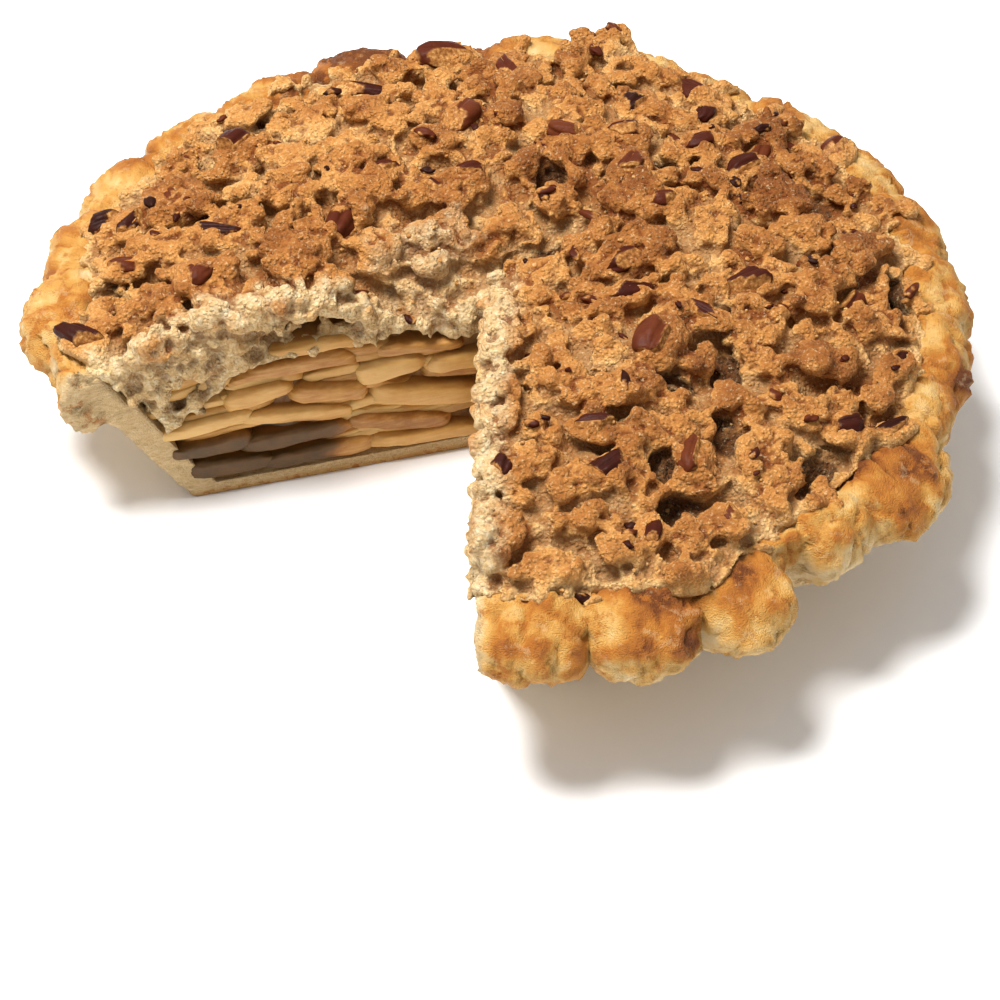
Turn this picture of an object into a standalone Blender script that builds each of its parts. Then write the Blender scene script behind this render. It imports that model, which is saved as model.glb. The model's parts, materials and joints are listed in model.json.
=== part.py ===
"""Apple crumble pie with one slice cut out.

A thick pastry shell with a hand-pinched rim holds stacked apple slices under a lumpy
crumble that is studded with chopped pecans. A fifth of the pie has been cut out, so
its layers show at two upright faces.

Metres, +Z up, the origin on the pie's axis at the level it stands on. Angles are in
degrees, counter-clockwise from +X seen from above. The cut faces stand at CUT_START
and CUT_END, and the pie is the stretch from the first to the second.
"""

import math
import random

import bmesh
import bpy
from mathutils import Matrix, Vector, noise
from mathutils.bvhtree import BVHTree

MM = 0.001

# Where the pie begins and ends: the missing slice is what is left of the full turn
CUT_START, CUT_END = -92.5, 195.5

# Pastry shell
BASE_RADIUS = 0.095
FLOOR_THICKNESS = 0.0044
WALL_TOP_RADIUS, WALL_TOP_HEIGHT = 0.1165, 0.0335
WALL_THICKNESS = 0.0088
RIM_RADIUS, RIM_HEIGHT = 0.1255, 0.0430
RIM_REACH_IN, RIM_RISE, RIM_DROP = 0.0100, 0.0090, 0.0092
CREASE_REACH, FLUTE_REACH = 0.0088, 0.0062
FLUTE_RISE = 0.0024
FLUTE_TURN = 13.3
# Flutes on the side that is seen best, as first angle, how far they puff out, and lift in
# millimetres; the others follow by rule, and those round FOLD_ANGLE are folded up
FRONT_FLUTES = (
    (-93.1, 1.5, 0.0),
    (-80.0, 2.0, -1.0),
    (-66.5, 2.1, -2.0),
    (-55.0, -1.1, -2.0),
    (-49.5, 0.6, 0.0),
    (-40.0, 1.5, -1.0),
    (-23.5, 0.3, 0.5),
    (-14.0, 0.5, 0.5),
    (-1.0, 0.9, 0.0),
)
END_FLUTES = ((171.5, 1.0, 0.0), (185.5, -0.7, 0.5))
FOLD_ANGLE, FOLD_SPREAD, FOLD_LIFT = 116.0, 17.0, 4.5
FLUTE_STEPS = (0.0, 0.17, 0.5, 0.83)

# Heights at a radius, in millimetres: the heaped apples, and the crumble over them
FILLING_HEIGHTS = ((0, 42), (25, 46), (45, 51), (62, 54), (74, 51), (83, 39), (92, 31), (106, 29))
CRUMBLE_HEIGHTS = ((0, 57), (20, 60), (55, 64), (85, 60), (105, 55), (118, 52.5), (124, 52))
CRUMBLE_EDGE_RADIUS, THINNEST_CRUMBLE = 0.1235, 0.0028
# Clearance of the filling in its shell, and of the crumble from all that it touches before
# its skin is drawn
GAP, BED_GAP, POCKET_GAP = 0.0004, 0.0010, 0.0018

# Rings shared by the top of the filling and the underside of the crumble
RINGS = (0.0, 0.014, 0.030, 0.046, 0.062, 0.077, 0.091, 0.103)
SWEEP_STEPS = 48

# Hollow that has opened between apples and crumble behind the cut at CUT_END
HOLLOW_REACH, HOLLOW_DEPTH, HOLLOW_RISE = (0.028, 0.084), 0.017, 0.0075
# Slope where the crumble broke away towards that cut
BREAK_REACH, BREAK_DEPTH, BREAK_HEIGHT, BREAK_SLOPE = 0.050, 0.013, 0.0490, 0.95

# Crumble lumps
LUMP_SEED, LUMP_TRIES, LUMP_SPACING = 7, 9000, 1.02
LUMP_RADII, LUMP_HEIGHTS, LUMP_CRAG = (0.0080, 0.0135), (0.0050, 0.0068), 0.34
SCATTER_RADIUS = 0.106
EDGE_LUMP_RADIUS, EDGE_LUMP_RADII, EDGE_LUMP_TURN = 0.1155, (0.0075, 0.0110), 8.5
CRUMB_RADIUS = 0.0042
CRUMBS_PER_CUT = 9
# How far crumble may stand out of the cuts
CUT_ROUGHNESS = 0.0022
# Grain of the skin that runs the lumps together, and triangles left in the joined shapes
SKIN_SIZE = 0.0009
CRUMBLE_FACES, FILLING_FACES = 7200, 2200

# Lumps that stand out, as x, y, length, width, height over the crumble and turn
GREAT_LUMPS = (
    (33, 122, 16, 12, 7, 20),
    (46, 4, 15, 12, 7, -15),
    (91, 0, 17, 11, 6, 10),
    (52, -62, 13, 10, 6, 25),
    (73, -79, 13, 11, 6, 60),
    (52, -112, 13, 9, 5, 15),
    (12, -113, 13, 9, 5, -10),
    (15, -30, 14, 11, 6, 35),
    (89, -36, 14, 11, 6, -20),
    (-58, 10, 15, 13, 7, 30),
    (-89, 6, 12, 10, 6, 40),
    (-60, 52, 14, 12, 6, 0),
    (-26, 70, 15, 11, 6, 15),
    (16, -62, 13, 9, 5, 70),
)

# Holes between the lumps, as x, y, length, width and turn
PITS = (
    (44, -80, 4, 7, 0),
    (48, -93, 9, 5, 5),
    (62, -64, 4, 6, 30),
    (63, -40, 4, 8, 10),
    (48, -50, 6, 4, 0),
    (115, 1, 4, 9, 0),
    (86, -75, 9, 4, 45),
    (-107, -1, 9, 4, -10),
    (38, 99, 5, 4, 0),
    (47, 50, 8, 4, -20),
    (15, 44, 4, 8, 20),
    (11, 13, 13, 3, 28),
    (-70, 84, 7, 4, 20),
    (94, 40, 6, 4, 60),
)
PIT_DEPTH = 0.0085

# Chopped pecans, as x, y, length, width and turn in millimetres and degrees
PECANS = (
    (-118, 33, 11, 8, 20),
    (-109, 30, 14, 7, 62),
    (-86, 29, 12, 6, 35),
    (-83, 19, 15, 6, -5),
    (-98, 38, 10, 5, -60),
    (-87, -6, 14, 8, 70),
    (-47, 19, 16, 9, 75),
    (-80, 62, 13, 10, 60),
    (-110, 10, 10, 6, 5),
    (-120, -21, 17, 8, -35),
    (-34, 44, 9, 7, 30),
    (-21, 38, 12, 6, -40),
    (-9, 43, 9, 6, 20),
    (-12, 72, 15, 10, 65),
    (-42, 102, 24, 6, -12),
    (-18, 117, 18, 11, 10),
    (2, 107, 15, 8, -70),
    (42, 81, 11, 8, 50),
    (20, 63, 12, 8, -20),
    (38, 62, 12, 7, 20),
    (61, 61, 11, 7, 25),
    (63, 81, 9, 6, 70),
    (61, 101, 13, 8, -40),
    (79, 64, 11, 7, 75),
    (74, 51, 13, 8, 35),
    (89, 72, 9, 7, -30),
    (104, 71, 12, 8, 60),
    (39, 44, 13, 7, 70),
    (48, 26, 10, 7, 10),
    (36, 0, 14, 8, 35),
    (37, -14, 13, 7, 10),
    (72, -8, 15, 10, 35),
    (58, -25, 13, 6, -40),
    (45, -38, 18, 12, 65),
    (101, -8, 12, 8, 60),
    (114, -26, 14, 6, 70),
    (96, -61, 11, 8, 10),
    (110, -58, 12, 6, 35),
    (53, -77, 14, 8, 75),
    (33, -58, 9, 6, 80),
    (26, -72, 11, 7, 0),
    (30, -85, 12, 8, 40),
    (1, -86, 9, 7, 75),
    (62, -99, 9, 6, -70),
    (40, -105, 11, 6, 80),
)
PECAN_HEIGHT_SHARE, PECAN_SUNK_SHARE = 0.72, 0.30

# Apple slices at the cut at CUT_END: distance from the axis and height of the middle,
# half length, half thickness in millimetres, tilt in degrees, and how much they bow
SHOWN_SLICES = (
    (22, 7.6, 20, 2.6, 2, 0.5),
    (57, 8.4, 19, 3.4, -1, 0.8),
    (82, 9.6, 14, 3.6, 1, 0.6),
    (31, 15.0, 17, 3.2, 11, 1.0),
    (62, 16.6, 18, 3.4, -2, 1.0),
    (88, 18.0, 13, 3.2, -3, 0.8),
    (21, 23.0, 19, 4.2, 11, 0.8),
    (62, 24.2, 18, 2.7, 7, 1.6),
    (89, 26.6, 15, 2.7, -6, 1.2),
    (12, 34.0, 11, 3.6, 0, 1.0),
    (33, 35.6, 11, 4.2, -6, 1.4),
    (52, 30.4, 12, 3.8, 8, 1.8),
    (73, 34.0, 11, 3.6, -8, 2.0),
    (62, 41.6, 20, 2.9, -2, 4.5),
    (24, 41.6, 14, 2.5, 6, 1.6),
    (58, 48.4, 17, 2.3, 0, 3.0),
)
SLICE_DEPTH, SLICE_PROUD, SLICE_BLUNTNESS, CORE_RECESS = 0.0075, 0.0022, 0.6, 0.0030
HIDDEN_ROWS, HIDDEN_SEED = ((8, 3.0), (15.5, 3.2), (23, 3.1), (30.5, 3.2), (38, 3.0)), 5

PASTRY_COLOUR, APPLE_COLOUR = (0.62, 0.36, 0.14), (0.55, 0.30, 0.09)
CRUMBLE_COLOUR, PECAN_COLOUR = (0.50, 0.27, 0.11), (0.13, 0.035, 0.022)


def clear_scene():
    for obj in list(bpy.data.objects):
        bpy.data.objects.remove(obj)


def material(name, colour, roughness):
    """Principled finish of one colour."""
    made = bpy.data.materials.new(name)
    made.use_nodes = True
    shader = made.node_tree.nodes["Principled BSDF"]
    shader.inputs["Base Color"].default_value = (*colour, 1.0)
    shader.inputs["Roughness"].default_value = roughness
    shader.inputs["Metallic"].default_value = 0.0
    return made


def polar(radius, angle, height):
    turn = math.radians(angle)
    return Vector((radius * math.cos(turn), radius * math.sin(turn), height))


def smooth(value, low, high):
    """0 below low and 1 above high, with soft ends."""
    share = min(1.0, max(0.0, (value - low) / (high - low)))
    return share * share * (3.0 - 2.0 * share)


def height_at(profile, radius):
    """Height, in metres, of a profile of (radius, height) pairs in millimetres."""
    place = radius / MM
    for (r0, z0), (r1, z1) in zip(profile, profile[1:]):
        if place <= r1:
            straight = max(0.0, place - r0) / (r1 - r0)
            share = 0.5 * straight + 0.5 * smooth(place, r0, r1)
            return (z0 + (z1 - z0) * share) * MM
    return profile[-1][1] * MM


def ripple(point, size, seed):
    """Smooth noise from -1 to 1 with bumps of the given size."""
    return noise.noise(point / size + Vector((seed * 7.3, seed * 3.1, seed * 5.7)))


def link(name, bm, finish=None):
    """A new object from a bmesh, with its faces pointing out."""
    bmesh.ops.recalc_face_normals(bm, faces=bm.faces)
    if bm.calc_volume(signed=True) < 0.0:
        bmesh.ops.reverse_faces(bm, faces=bm.faces)
    mesh = bpy.data.meshes.new(name)
    bm.to_mesh(mesh)
    bm.free()
    obj = bpy.data.objects.new(name, mesh)
    if finish:
        mesh.materials.append(finish)
    bpy.context.scene.collection.objects.link(obj)
    return obj


def sweep(name, section, angles, finish=None):
    """A closed body through the sections at these angles. Each section is a loop of (radius,
    height) pairs that begins and ends on the axis, and both ends of the body are capped."""
    bm = bmesh.new()
    rings = [[bm.verts.new(polar(r, a, z)) for r, z in section(a)] for a in angles]
    for here, there in zip(rings, rings[1:]):
        for i in range(len(here) - 1):
            bm.faces.new((here[i], there[i], there[i + 1], here[i + 1]))
    bm.faces.new(rings[0])
    bm.faces.new(rings[-1])
    bmesh.ops.remove_doubles(bm, verts=bm.verts, dist=0.01 * MM)
    bmesh.ops.triangulate(bm, faces=[f for f in bm.faces if len(f.verts) > 4])
    return link(name, bm, finish)


def even_angles(steps, past=0.0):
    """Evenly spaced angles from cut to cut, or as far past both as asked."""
    low, high = CUT_START - past, CUT_END + past
    return [low + (high - low) * i / steps for i in range(steps + 1)]


def flutes():
    """Each pinched flute of the rim as (first angle, last angle, reach, lift)."""
    draw = random.Random(11)
    first, last = FRONT_FLUTES[-1][0], END_FLUTES[0][0]
    count = round((last - first) / FLUTE_TURN)
    made = list(FRONT_FLUTES)
    for i in range(1, count):
        angle = first + (last - first) * (i + draw.uniform(-0.14, 0.14)) / count
        folded = FOLD_LIFT * max(0.0, 1.0 - abs(angle + 6.0 - FOLD_ANGLE) / FOLD_SPREAD)
        made.append((angle, draw.uniform(0.7, 1.3), draw.uniform(-0.9, 1.3) + folded))
    made += END_FLUTES
    ends = [flute[0] for flute in made[1:]] + [CUT_END + 8.0]
    return [(angle, end, reach, lift * MM) for (angle, reach, lift), end in zip(made, ends)]


def flute_at(angle, layout):
    """(how far out of the crease, reach, lift) of the rim at an angle."""
    for low, high, reach, lift in layout:
        if low <= angle < high:
            across = 2.0 * (angle - low) / (high - low) - 1.0
            return max(0.0, 1.0 - abs(across) ** 2.4) ** 0.62, reach, lift
    return 0.0, 1.0, 0.0


def crust_section(angle, layout, grow=0.0):
    """Outline of the pastry at an angle, moved outwards by grow."""
    puff, reach, lift = flute_at(angle, layout)
    out = CREASE_REACH + FLUTE_REACH * puff * reach
    up = RIM_RISE + FLUTE_RISE * puff
    down = RIM_DROP + 0.6 * FLUTE_RISE * puff
    centre_z = RIM_HEIGHT + lift * puff
    inner_z = WALL_TOP_HEIGHT + 3.0 * MM
    points = [
        (0.0, 0.0),
        (BASE_RADIUS - 1.5 * MM, 0.0),
        (BASE_RADIUS, 0.9 * MM),
        (BASE_RADIUS + 9.0 * MM, 14.5 * MM),
        (WALL_TOP_RADIUS, WALL_TOP_HEIGHT),
        (RIM_RADIUS - 3.0 * MM, centre_z - down),
        (RIM_RADIUS + 0.62 * out, centre_z - 0.72 * down),
        (RIM_RADIUS + out, centre_z - 0.05 * down),
        (RIM_RADIUS + 0.72 * out, centre_z + 0.70 * up),
        (RIM_RADIUS, centre_z + up),
        (RIM_RADIUS - 0.75 * RIM_REACH_IN, centre_z + 0.62 * up),
        (RIM_RADIUS - 1.25 * RIM_REACH_IN, centre_z - 0.10 * up),
        (WALL_TOP_RADIUS - WALL_THICKNESS, inner_z),
        (BASE_RADIUS + 9.0 * MM - WALL_THICKNESS, 15.0 * MM),
        (BASE_RADIUS - 7.5 * MM, FLOOR_THICKNESS),
        (0.0, FLOOR_THICKNESS),
    ]
    return grown(points, grow) if grow else points


def grown(points, grow):
    """A section moved outwards: each corner goes along the mean of its two sides' normals."""
    made = []
    for i, (r, z) in enumerate(points):
        r0, z0 = points[max(i - 1, 0)]
        r1, z1 = points[min(i + 1, len(points) - 1)]
        run, rise = r1 - r0, z1 - z0
        length = math.hypot(run, rise)
        moved_r = 0.0 if i in (0, len(points) - 1) else r + grow * rise / length
        made.append((moved_r, z - grow * run / length))
    return made


def rim_angles(layout, past=0.0):
    """Angles that follow the flutes, so that each has the same few steps."""
    low_end, high_end = CUT_START - past, CUT_END + past
    inside = [
        low + (high - low) * step
        for low, high, _, _ in layout
        for step in FLUTE_STEPS
        if low_end + 1.0 < low + (high - low) * step < high_end - 1.0
    ]
    return [low_end, *inside, high_end]


def behind_cut(radius, angle):
    """(distance along the cut at CUT_END, distance behind it) of a place in the pie."""
    turn = math.radians(CUT_END - angle)
    return radius * math.cos(turn), radius * math.sin(turn)


def filling_top(radius, angle):
    swell = 1.6 * MM * ripple(polar(radius, angle, 0.0), 0.030, 1)
    return height_at(FILLING_HEIGHTS, radius) + swell * smooth(radius, 0.0, 0.02)


def crumble_underside(radius, angle):
    """The top of the filling, plus the hollow that has opened behind one cut."""
    along, back = behind_cut(radius, angle)
    first, last = HOLLOW_REACH
    window = smooth(along, first, first + 0.016) * (1.0 - smooth(along, last - 0.018, last))
    depth = 1.0 - smooth(back, 0.25 * HOLLOW_DEPTH, HOLLOW_DEPTH)
    near = depth if back > -1.0 * MM and along > 0.0 else 0.0
    return filling_top(radius, angle) + BED_GAP + HOLLOW_RISE * window * near


def crumble_top(radius, angle):
    """Top of the crumble between its lumps, broken away towards the cut at CUT_END."""
    place = polar(radius, angle, 0.0)
    height = height_at(CRUMBLE_HEIGHTS, radius) + 2.1 * MM * ripple(place, 0.014, 2)
    along, back = behind_cut(radius, angle)
    if -2.0 * MM < along < BREAK_REACH and back > -1.0 * MM:
        slope = BREAK_HEIGHT + BREAK_SLOPE * back + 1.5 * MM * ripple(place, 0.008, 4)
        away = smooth(along, BREAK_REACH - 0.012, BREAK_REACH)
        height = min(height, slope + 0.020 * away)
    return max(height, crumble_underside(radius, angle) + THINNEST_CRUMBLE)


def filling_section(angle):
    wall = [
        (0.0, FLOOR_THICKNESS + GAP),
        (BASE_RADIUS - 8.2 * MM, FLOOR_THICKNESS + GAP),
        (BASE_RADIUS - 0.9 * MM, 15.5 * MM),
        (RINGS[-1], filling_top(RINGS[-1], angle)),
    ]
    return wall + [(r, filling_top(r, angle)) for r in reversed(RINGS[:-1])]


def crumble_section(angle):
    """The underside out to the pastry, the edge that lies on the rim, and the top."""
    under = [(r, crumble_underside(r, angle)) for r in RINGS]
    edge = CRUMBLE_EDGE_RADIUS + 2.0 * MM * ripple(polar(0.12, angle, 0.0), 0.015, 3)
    rim = [
        (edge - 1.5 * MM, RIM_HEIGHT + 3.0 * MM),
        (edge, RIM_HEIGHT + RIM_RISE + 2.0 * MM),
        (edge - 3.5 * MM, crumble_top(edge - 4.0 * MM, angle) + 1.2 * MM),
        (edge - 11.0 * MM, crumble_top(edge - 11.0 * MM, angle)),
    ]
    return under + rim + [(r, crumble_top(r, angle)) for r in reversed(RINGS)]


def lump_object(name, centre, size, turn, seed):
    """A craggy lump: a small sphere with noisy sides."""
    bm = bmesh.new()
    bmesh.ops.create_icosphere(bm, subdivisions=2, radius=1.0)
    for vert in bm.verts:
        vert.co *= 1.0 + LUMP_CRAG * ripple(vert.co.copy(), 0.95, seed)
    bm.transform(Matrix.Diagonal((*size, 1.0)))
    bm.transform(Matrix.Rotation(turn, 4, "Z"))
    bm.transform(Matrix.Translation(centre))
    return link(name, bm)


def pie_angle(x, y):
    """Angle of a place, counted up from CUT_START."""
    angle = math.degrees(math.atan2(y, x))
    return angle + 360.0 if angle < CUT_START else angle


def on_pie(x, y, margin):
    """Whether a place is in the pie and at least margin from both cuts."""
    angle = pie_angle(x, y)
    nearest = min(angle - CUT_START, CUT_END - angle)
    if nearest <= 0.0:
        return False
    return nearest > 90.0 or math.hypot(x, y) * math.sin(math.radians(nearest)) > margin


def rim_lumps(draw):
    """Lumps in a ring over the inner half of the rim."""
    places = []
    angle = CUT_START + 4.0
    while angle < CUT_END - 3.0:
        spot = polar(EDGE_LUMP_RADIUS + draw.uniform(-2.5, 2.0) * MM, angle, 0.0)
        size = draw.uniform(*EDGE_LUMP_RADII)
        turn = draw.uniform(0.0, math.pi)
        places.append((spot.x, spot.y, size, 0.75 * size, LUMP_HEIGHTS[0], turn))
        angle += EDGE_LUMP_TURN * draw.uniform(0.8, 1.2)
    return places


def has_room(spot, size, places):
    """Whether a lump fits beside the others, off the broken slope and out of the pits."""
    for x, y, length, *_ in places:
        if math.hypot(spot.x - x, spot.y - y) < LUMP_SPACING * 0.5 * (size + length):
            return False
    for x, y, *_ in PITS:
        if math.hypot(spot.x - x * MM, spot.y - y * MM) < size:
            return False
    along, back = behind_cut(spot.length, pie_angle(spot.x, spot.y))
    on_slope = -2.0 * MM < along < BREAK_REACH - 4.0 * MM and 0.0 < back < BREAK_DEPTH
    return not on_slope and on_pie(spot.x, spot.y, 0.1 * size)


def lump_places():
    """Each lump as x, y, length, width, height and turn: the great ones, those along the
    rim, and a scatter that keeps its distance."""
    draw = random.Random(LUMP_SEED)
    places = [
        (x * MM, y * MM, length * MM, width * MM, height * MM, math.radians(turn))
        for x, y, length, width, height, turn in GREAT_LUMPS
    ]
    places += rim_lumps(draw)
    for _ in range(LUMP_TRIES):
        radius = SCATTER_RADIUS * math.sqrt(draw.random())
        spot = polar(radius, draw.uniform(CUT_START, CUT_END), 0.0)
        size = draw.uniform(*LUMP_RADII)
        if has_room(spot, size, places):
            width = size * draw.uniform(0.62, 0.9)
            height, turn = draw.uniform(*LUMP_HEIGHTS), draw.uniform(0.0, math.pi)
            places.append((spot.x, spot.y, size, width, height, turn))
    return places


def lumps():
    made = []
    for i, (x, y, length, width, height, turn) in enumerate(lump_places()):
        top = crumble_top(math.hypot(x, y), pie_angle(x, y))
        centre = Vector((x, y, top + 0.25 * height))
        made.append(lump_object(f"lump_{i}", centre, (length, width, 1.15 * height), turn, i))
    return made


def cut_crumbs():
    """Crumbs that stand out of the crumble's two cut faces."""
    draw = random.Random(3)
    made = []
    for face, angle in enumerate((CUT_START, CUT_END)):
        for i in range(CRUMBS_PER_CUT):
            radius = (14.0 + 11.0 * i + draw.uniform(-2.0, 2.0)) * MM
            low, high = crumble_underside(radius, angle), crumble_top(radius, angle)
            height = low + (high - low) * draw.uniform(0.35, 0.75)
            size = min(CRUMB_RADIUS * draw.uniform(0.7, 1.1), 0.42 * (high - low))
            centre = polar(radius, angle, height)
            made.append(lump_object(f"crumb_{face}_{i}", centre, (size,) * 3, 0.0, 50 + i))
    return made


def pit_cutters():
    made = []
    for i, (x, y, length, width, turn) in enumerate(PITS):
        top = crumble_top(math.hypot(x, y) * MM, pie_angle(x, y))
        centre = Vector((x * MM, y * MM, top + 0.5 * MM))
        size = (length * MM, width * MM, PIT_DEPTH)
        made.append(lump_object(f"pit_{i}", centre, size, math.radians(turn), 90 + i))
    return made


def slice_object(name, face_angle, outwards, row):
    """One apple slice that stands a little proud of a cut: a flat bowed pad."""
    along, height, half_length, half_thick, tilt, bow = row
    bm = bmesh.new()
    bmesh.ops.create_uvsphere(bm, u_segments=12, v_segments=4, radius=1.0)
    bm.transform(Matrix.Rotation(math.radians(90.0), 4, "X"))
    for vert in bm.verts:
        x, y, z = vert.co
        long = math.copysign(abs(x) ** SLICE_BLUNTNESS, x) * half_length
        thick = math.copysign(abs(z) ** SLICE_BLUNTNESS, z) * half_thick
        vert.co = Vector((long * MM, SLICE_DEPTH * y, (thick + bow * (0.5 - x * x)) * MM))
    bm.transform(Matrix.Rotation(-math.radians(tilt), 4, "Y"))
    turn = math.radians(face_angle)
    out = Vector((math.sin(turn), -math.cos(turn), 0.0)) * outwards
    proud = SLICE_PROUD * (1.0 + 0.4 * ripple(Vector((along, height, 0.0)), 9.0, 6))
    bm.transform(Matrix.Rotation(turn, 4, "Z"))
    middle = polar(along * MM, face_angle, height * MM)
    bm.transform(Matrix.Translation(middle + out * (proud - SLICE_DEPTH)))
    return link(name, bm)


def hidden_slices():
    """Slices at the cut at CUT_START, laid in rows by rule."""
    draw = random.Random(HIDDEN_SEED)
    rows = []
    for height, half_thick in HIDDEN_ROWS:
        along = draw.uniform(12, 20)
        reach = 84 + 0.42 * height
        while along < reach:
            half = draw.uniform(13, 19)
            middle = min(along, reach - half + 4)
            level, tilt = height + draw.uniform(-0.5, 0.5), draw.uniform(-6, 6)
            rows.append((middle, level, half, half_thick, tilt, 1.2))
            along += 1.85 * half
    return rows


def apple_slices():
    made = [
        slice_object(f"slice_a_{i}", CUT_END, -1.0, row) for i, row in enumerate(SHOWN_SLICES)
    ]
    made += [
        slice_object(f"slice_b_{i}", CUT_START, 1.0, row) for i, row in enumerate(hidden_slices())
    ]
    return made


def apply_modifiers(obj):
    bpy.context.view_layer.update()
    graph = bpy.context.evaluated_depsgraph_get()
    mesh = bpy.data.meshes.new_from_object(obj.evaluated_get(graph))
    obj.modifiers.clear()
    obj.data = mesh


def bake_together(obj):
    """Runs joined shapes together into one skin with softened creases."""
    modifier = obj.modifiers.new("skin", "REMESH")
    modifier.mode = "VOXEL"
    modifier.voxel_size = SKIN_SIZE
    apply_modifiers(obj)


def thin_out(obj, faces):
    """Collapses the shortest edges until about so many triangles are left."""
    modifier = obj.modifiers.new("fewer", "DECIMATE")
    modifier.ratio = faces / sum(len(face.vertices) - 2 for face in obj.data.polygons)
    modifier.use_collapse_triangulate = True
    apply_modifiers(obj)


def combine(obj, others, operation):
    """Joins others to obj, or cuts them from it, and removes them. So many lumps overlap
    that the exact solver doesn't give the same result twice, and the manifold one does."""
    group = bpy.data.collections.new(operation.lower())
    for other in others:
        group.objects.link(other)
    modifier = obj.modifiers.new(operation, "BOOLEAN")
    modifier.operation = operation
    modifier.operand_type = "COLLECTION"
    modifier.collection = group
    modifier.solver = "MANIFOLD"
    apply_modifiers(obj)
    for other in others:
        bpy.data.objects.remove(other)
    bpy.data.collections.remove(group)


def tidy(obj, finish):
    """Keeps the largest body of an object and gives it its finish."""
    bm = bmesh.new()
    bm.from_mesh(obj.data)
    islands, left = [], set(bm.verts)
    while left:
        found, edge = set(), [left.pop()]
        while edge:
            vert = edge.pop()
            found.add(vert)
            near = {e.other_vert(vert) for e in vert.link_edges} & left
            left -= near
            edge.extend(near)
        islands.append(found)
    islands.sort(key=len)
    for scrap in islands[:-1]:
        bmesh.ops.delete(bm, geom=list(scrap), context="VERTS")
    bmesh.ops.triangulate(bm, faces=bm.faces)
    bm.to_mesh(obj.data)
    bm.free()
    obj.data.materials.clear()
    obj.data.materials.append(finish)


def wedge_cutter(name, offset):
    """A prism over the missing slice whose sides stand this far behind the two cuts."""
    half = math.radians(0.5 * (CUT_START + 360.0 - CUT_END))
    middle = CUT_END + math.degrees(half)
    apex = polar(-offset / math.sin(half), middle, -0.02)
    corners = [apex, apex + polar(0.25, CUT_END, 0.0), apex + polar(0.25, CUT_START, 0.0)]
    bm = bmesh.new()
    face = bm.faces.new([bm.verts.new(corner) for corner in corners])
    walls = bmesh.ops.extrude_face_region(bm, geom=[face])["geom"]
    moved = [item for item in walls if isinstance(item, bmesh.types.BMVert)]
    bmesh.ops.translate(bm, verts=moved, vec=(0.0, 0.0, 0.12))
    return link(name, bm)


def pecan_object(name, row, height, seed, grow=0.0, finish=None):
    """A chopped pecan: an oval nugget with a groove along its back and blunt ends."""
    x, y, length, width, turn = row
    bm = bmesh.new()
    bmesh.ops.create_uvsphere(bm, u_segments=7, v_segments=4, radius=1.0)
    bm.transform(Matrix.Rotation(math.radians(90.0), 4, "Y"))
    size = Vector((0.5 * length, 0.5 * width, 0.5 * width * PECAN_HEIGHT_SHARE)) * MM
    for vert in bm.verts:
        groove = 1.0 - 0.22 * max(0.0, vert.co.z) ** 3
        blunt = math.copysign(abs(vert.co.x) ** 0.75, vert.co.x)
        crag = 1.0 + 0.20 * ripple(vert.co.copy(), 0.9, seed)
        shaped = Vector((blunt, vert.co.y, vert.co.z * groove)) * crag
        vert.co = Vector((shaped.x * size.x, shaped.y * size.y, shaped.z * size.z))
    bm.normal_update()
    for vert in bm.verts:
        vert.co += grow * vert.normal
    tilt = math.radians(9.0) * ripple(Vector((x, y, 0.0)), 13.0, 8)
    bm.transform(Matrix.Rotation(tilt, 4, "Y"))
    bm.transform(Matrix.Rotation(math.radians(turn), 4, "Z"))
    lift = size.z * (1.0 - 2.0 * PECAN_SUNK_SHARE)
    bm.transform(Matrix.Translation((x * MM, y * MM, height + lift)))
    return link(name, bm, finish)


def build_crust(layout, group):
    crust = sweep(
        "crust",
        lambda angle: crust_section(angle, layout),
        rim_angles(layout),
        material("pastry", PASTRY_COLOUR, 0.6),
    )
    group.append(crust)


def build_filling(group):
    filling = sweep(
        "apple_filling",
        lambda angle: grown(filling_section(angle), -0.3 * MM),
        even_angles(SWEEP_STEPS),
    )
    combine(filling, [wedge_cutter("recess", CORE_RECESS)], "DIFFERENCE")
    combine(filling, apple_slices(), "UNION")
    thin_out(filling, FILLING_FACES)
    envelope = sweep("envelope", filling_section, even_angles(SWEEP_STEPS, 4.0))
    combine(filling, [envelope], "INTERSECT")
    tidy(filling, material("apple", APPLE_COLOUR, 0.35))
    group.append(filling)


def surface_of(obj):
    points = [vert.co for vert in obj.data.vertices]
    return BVHTree.FromPolygons(points, [face.vertices for face in obj.data.polygons])


def drop_height(surface, x, y):
    """Height of the highest point of a surface at a place, or 0 beside it."""
    hit = surface.ray_cast(Vector((x, y, 0.2)), Vector((0.0, 0.0, -1.0)))[0]
    return hit.z if hit else 0.0


def pecan_height(row, crumble, pastry):
    """Where a pecan's bed lies: the crumble's surface, or higher where pastry is below."""
    x, y, length, width, turn = row
    along = Vector((math.cos(math.radians(turn)), math.sin(math.radians(turn)))) * 0.5 * length
    sunk = PECAN_SUNK_SHARE * PECAN_HEIGHT_SHARE * width * MM
    spots = [Vector((x, y)) + share * along for share in (-1.0, -0.5, 0.0, 0.5, 1.0)]
    bed = max(drop_height(pastry, spot.x * MM, spot.y * MM) for spot in spots)
    return max(drop_height(crumble, x * MM, y * MM), bed + sunk + 2.0 * GAP)


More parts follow.
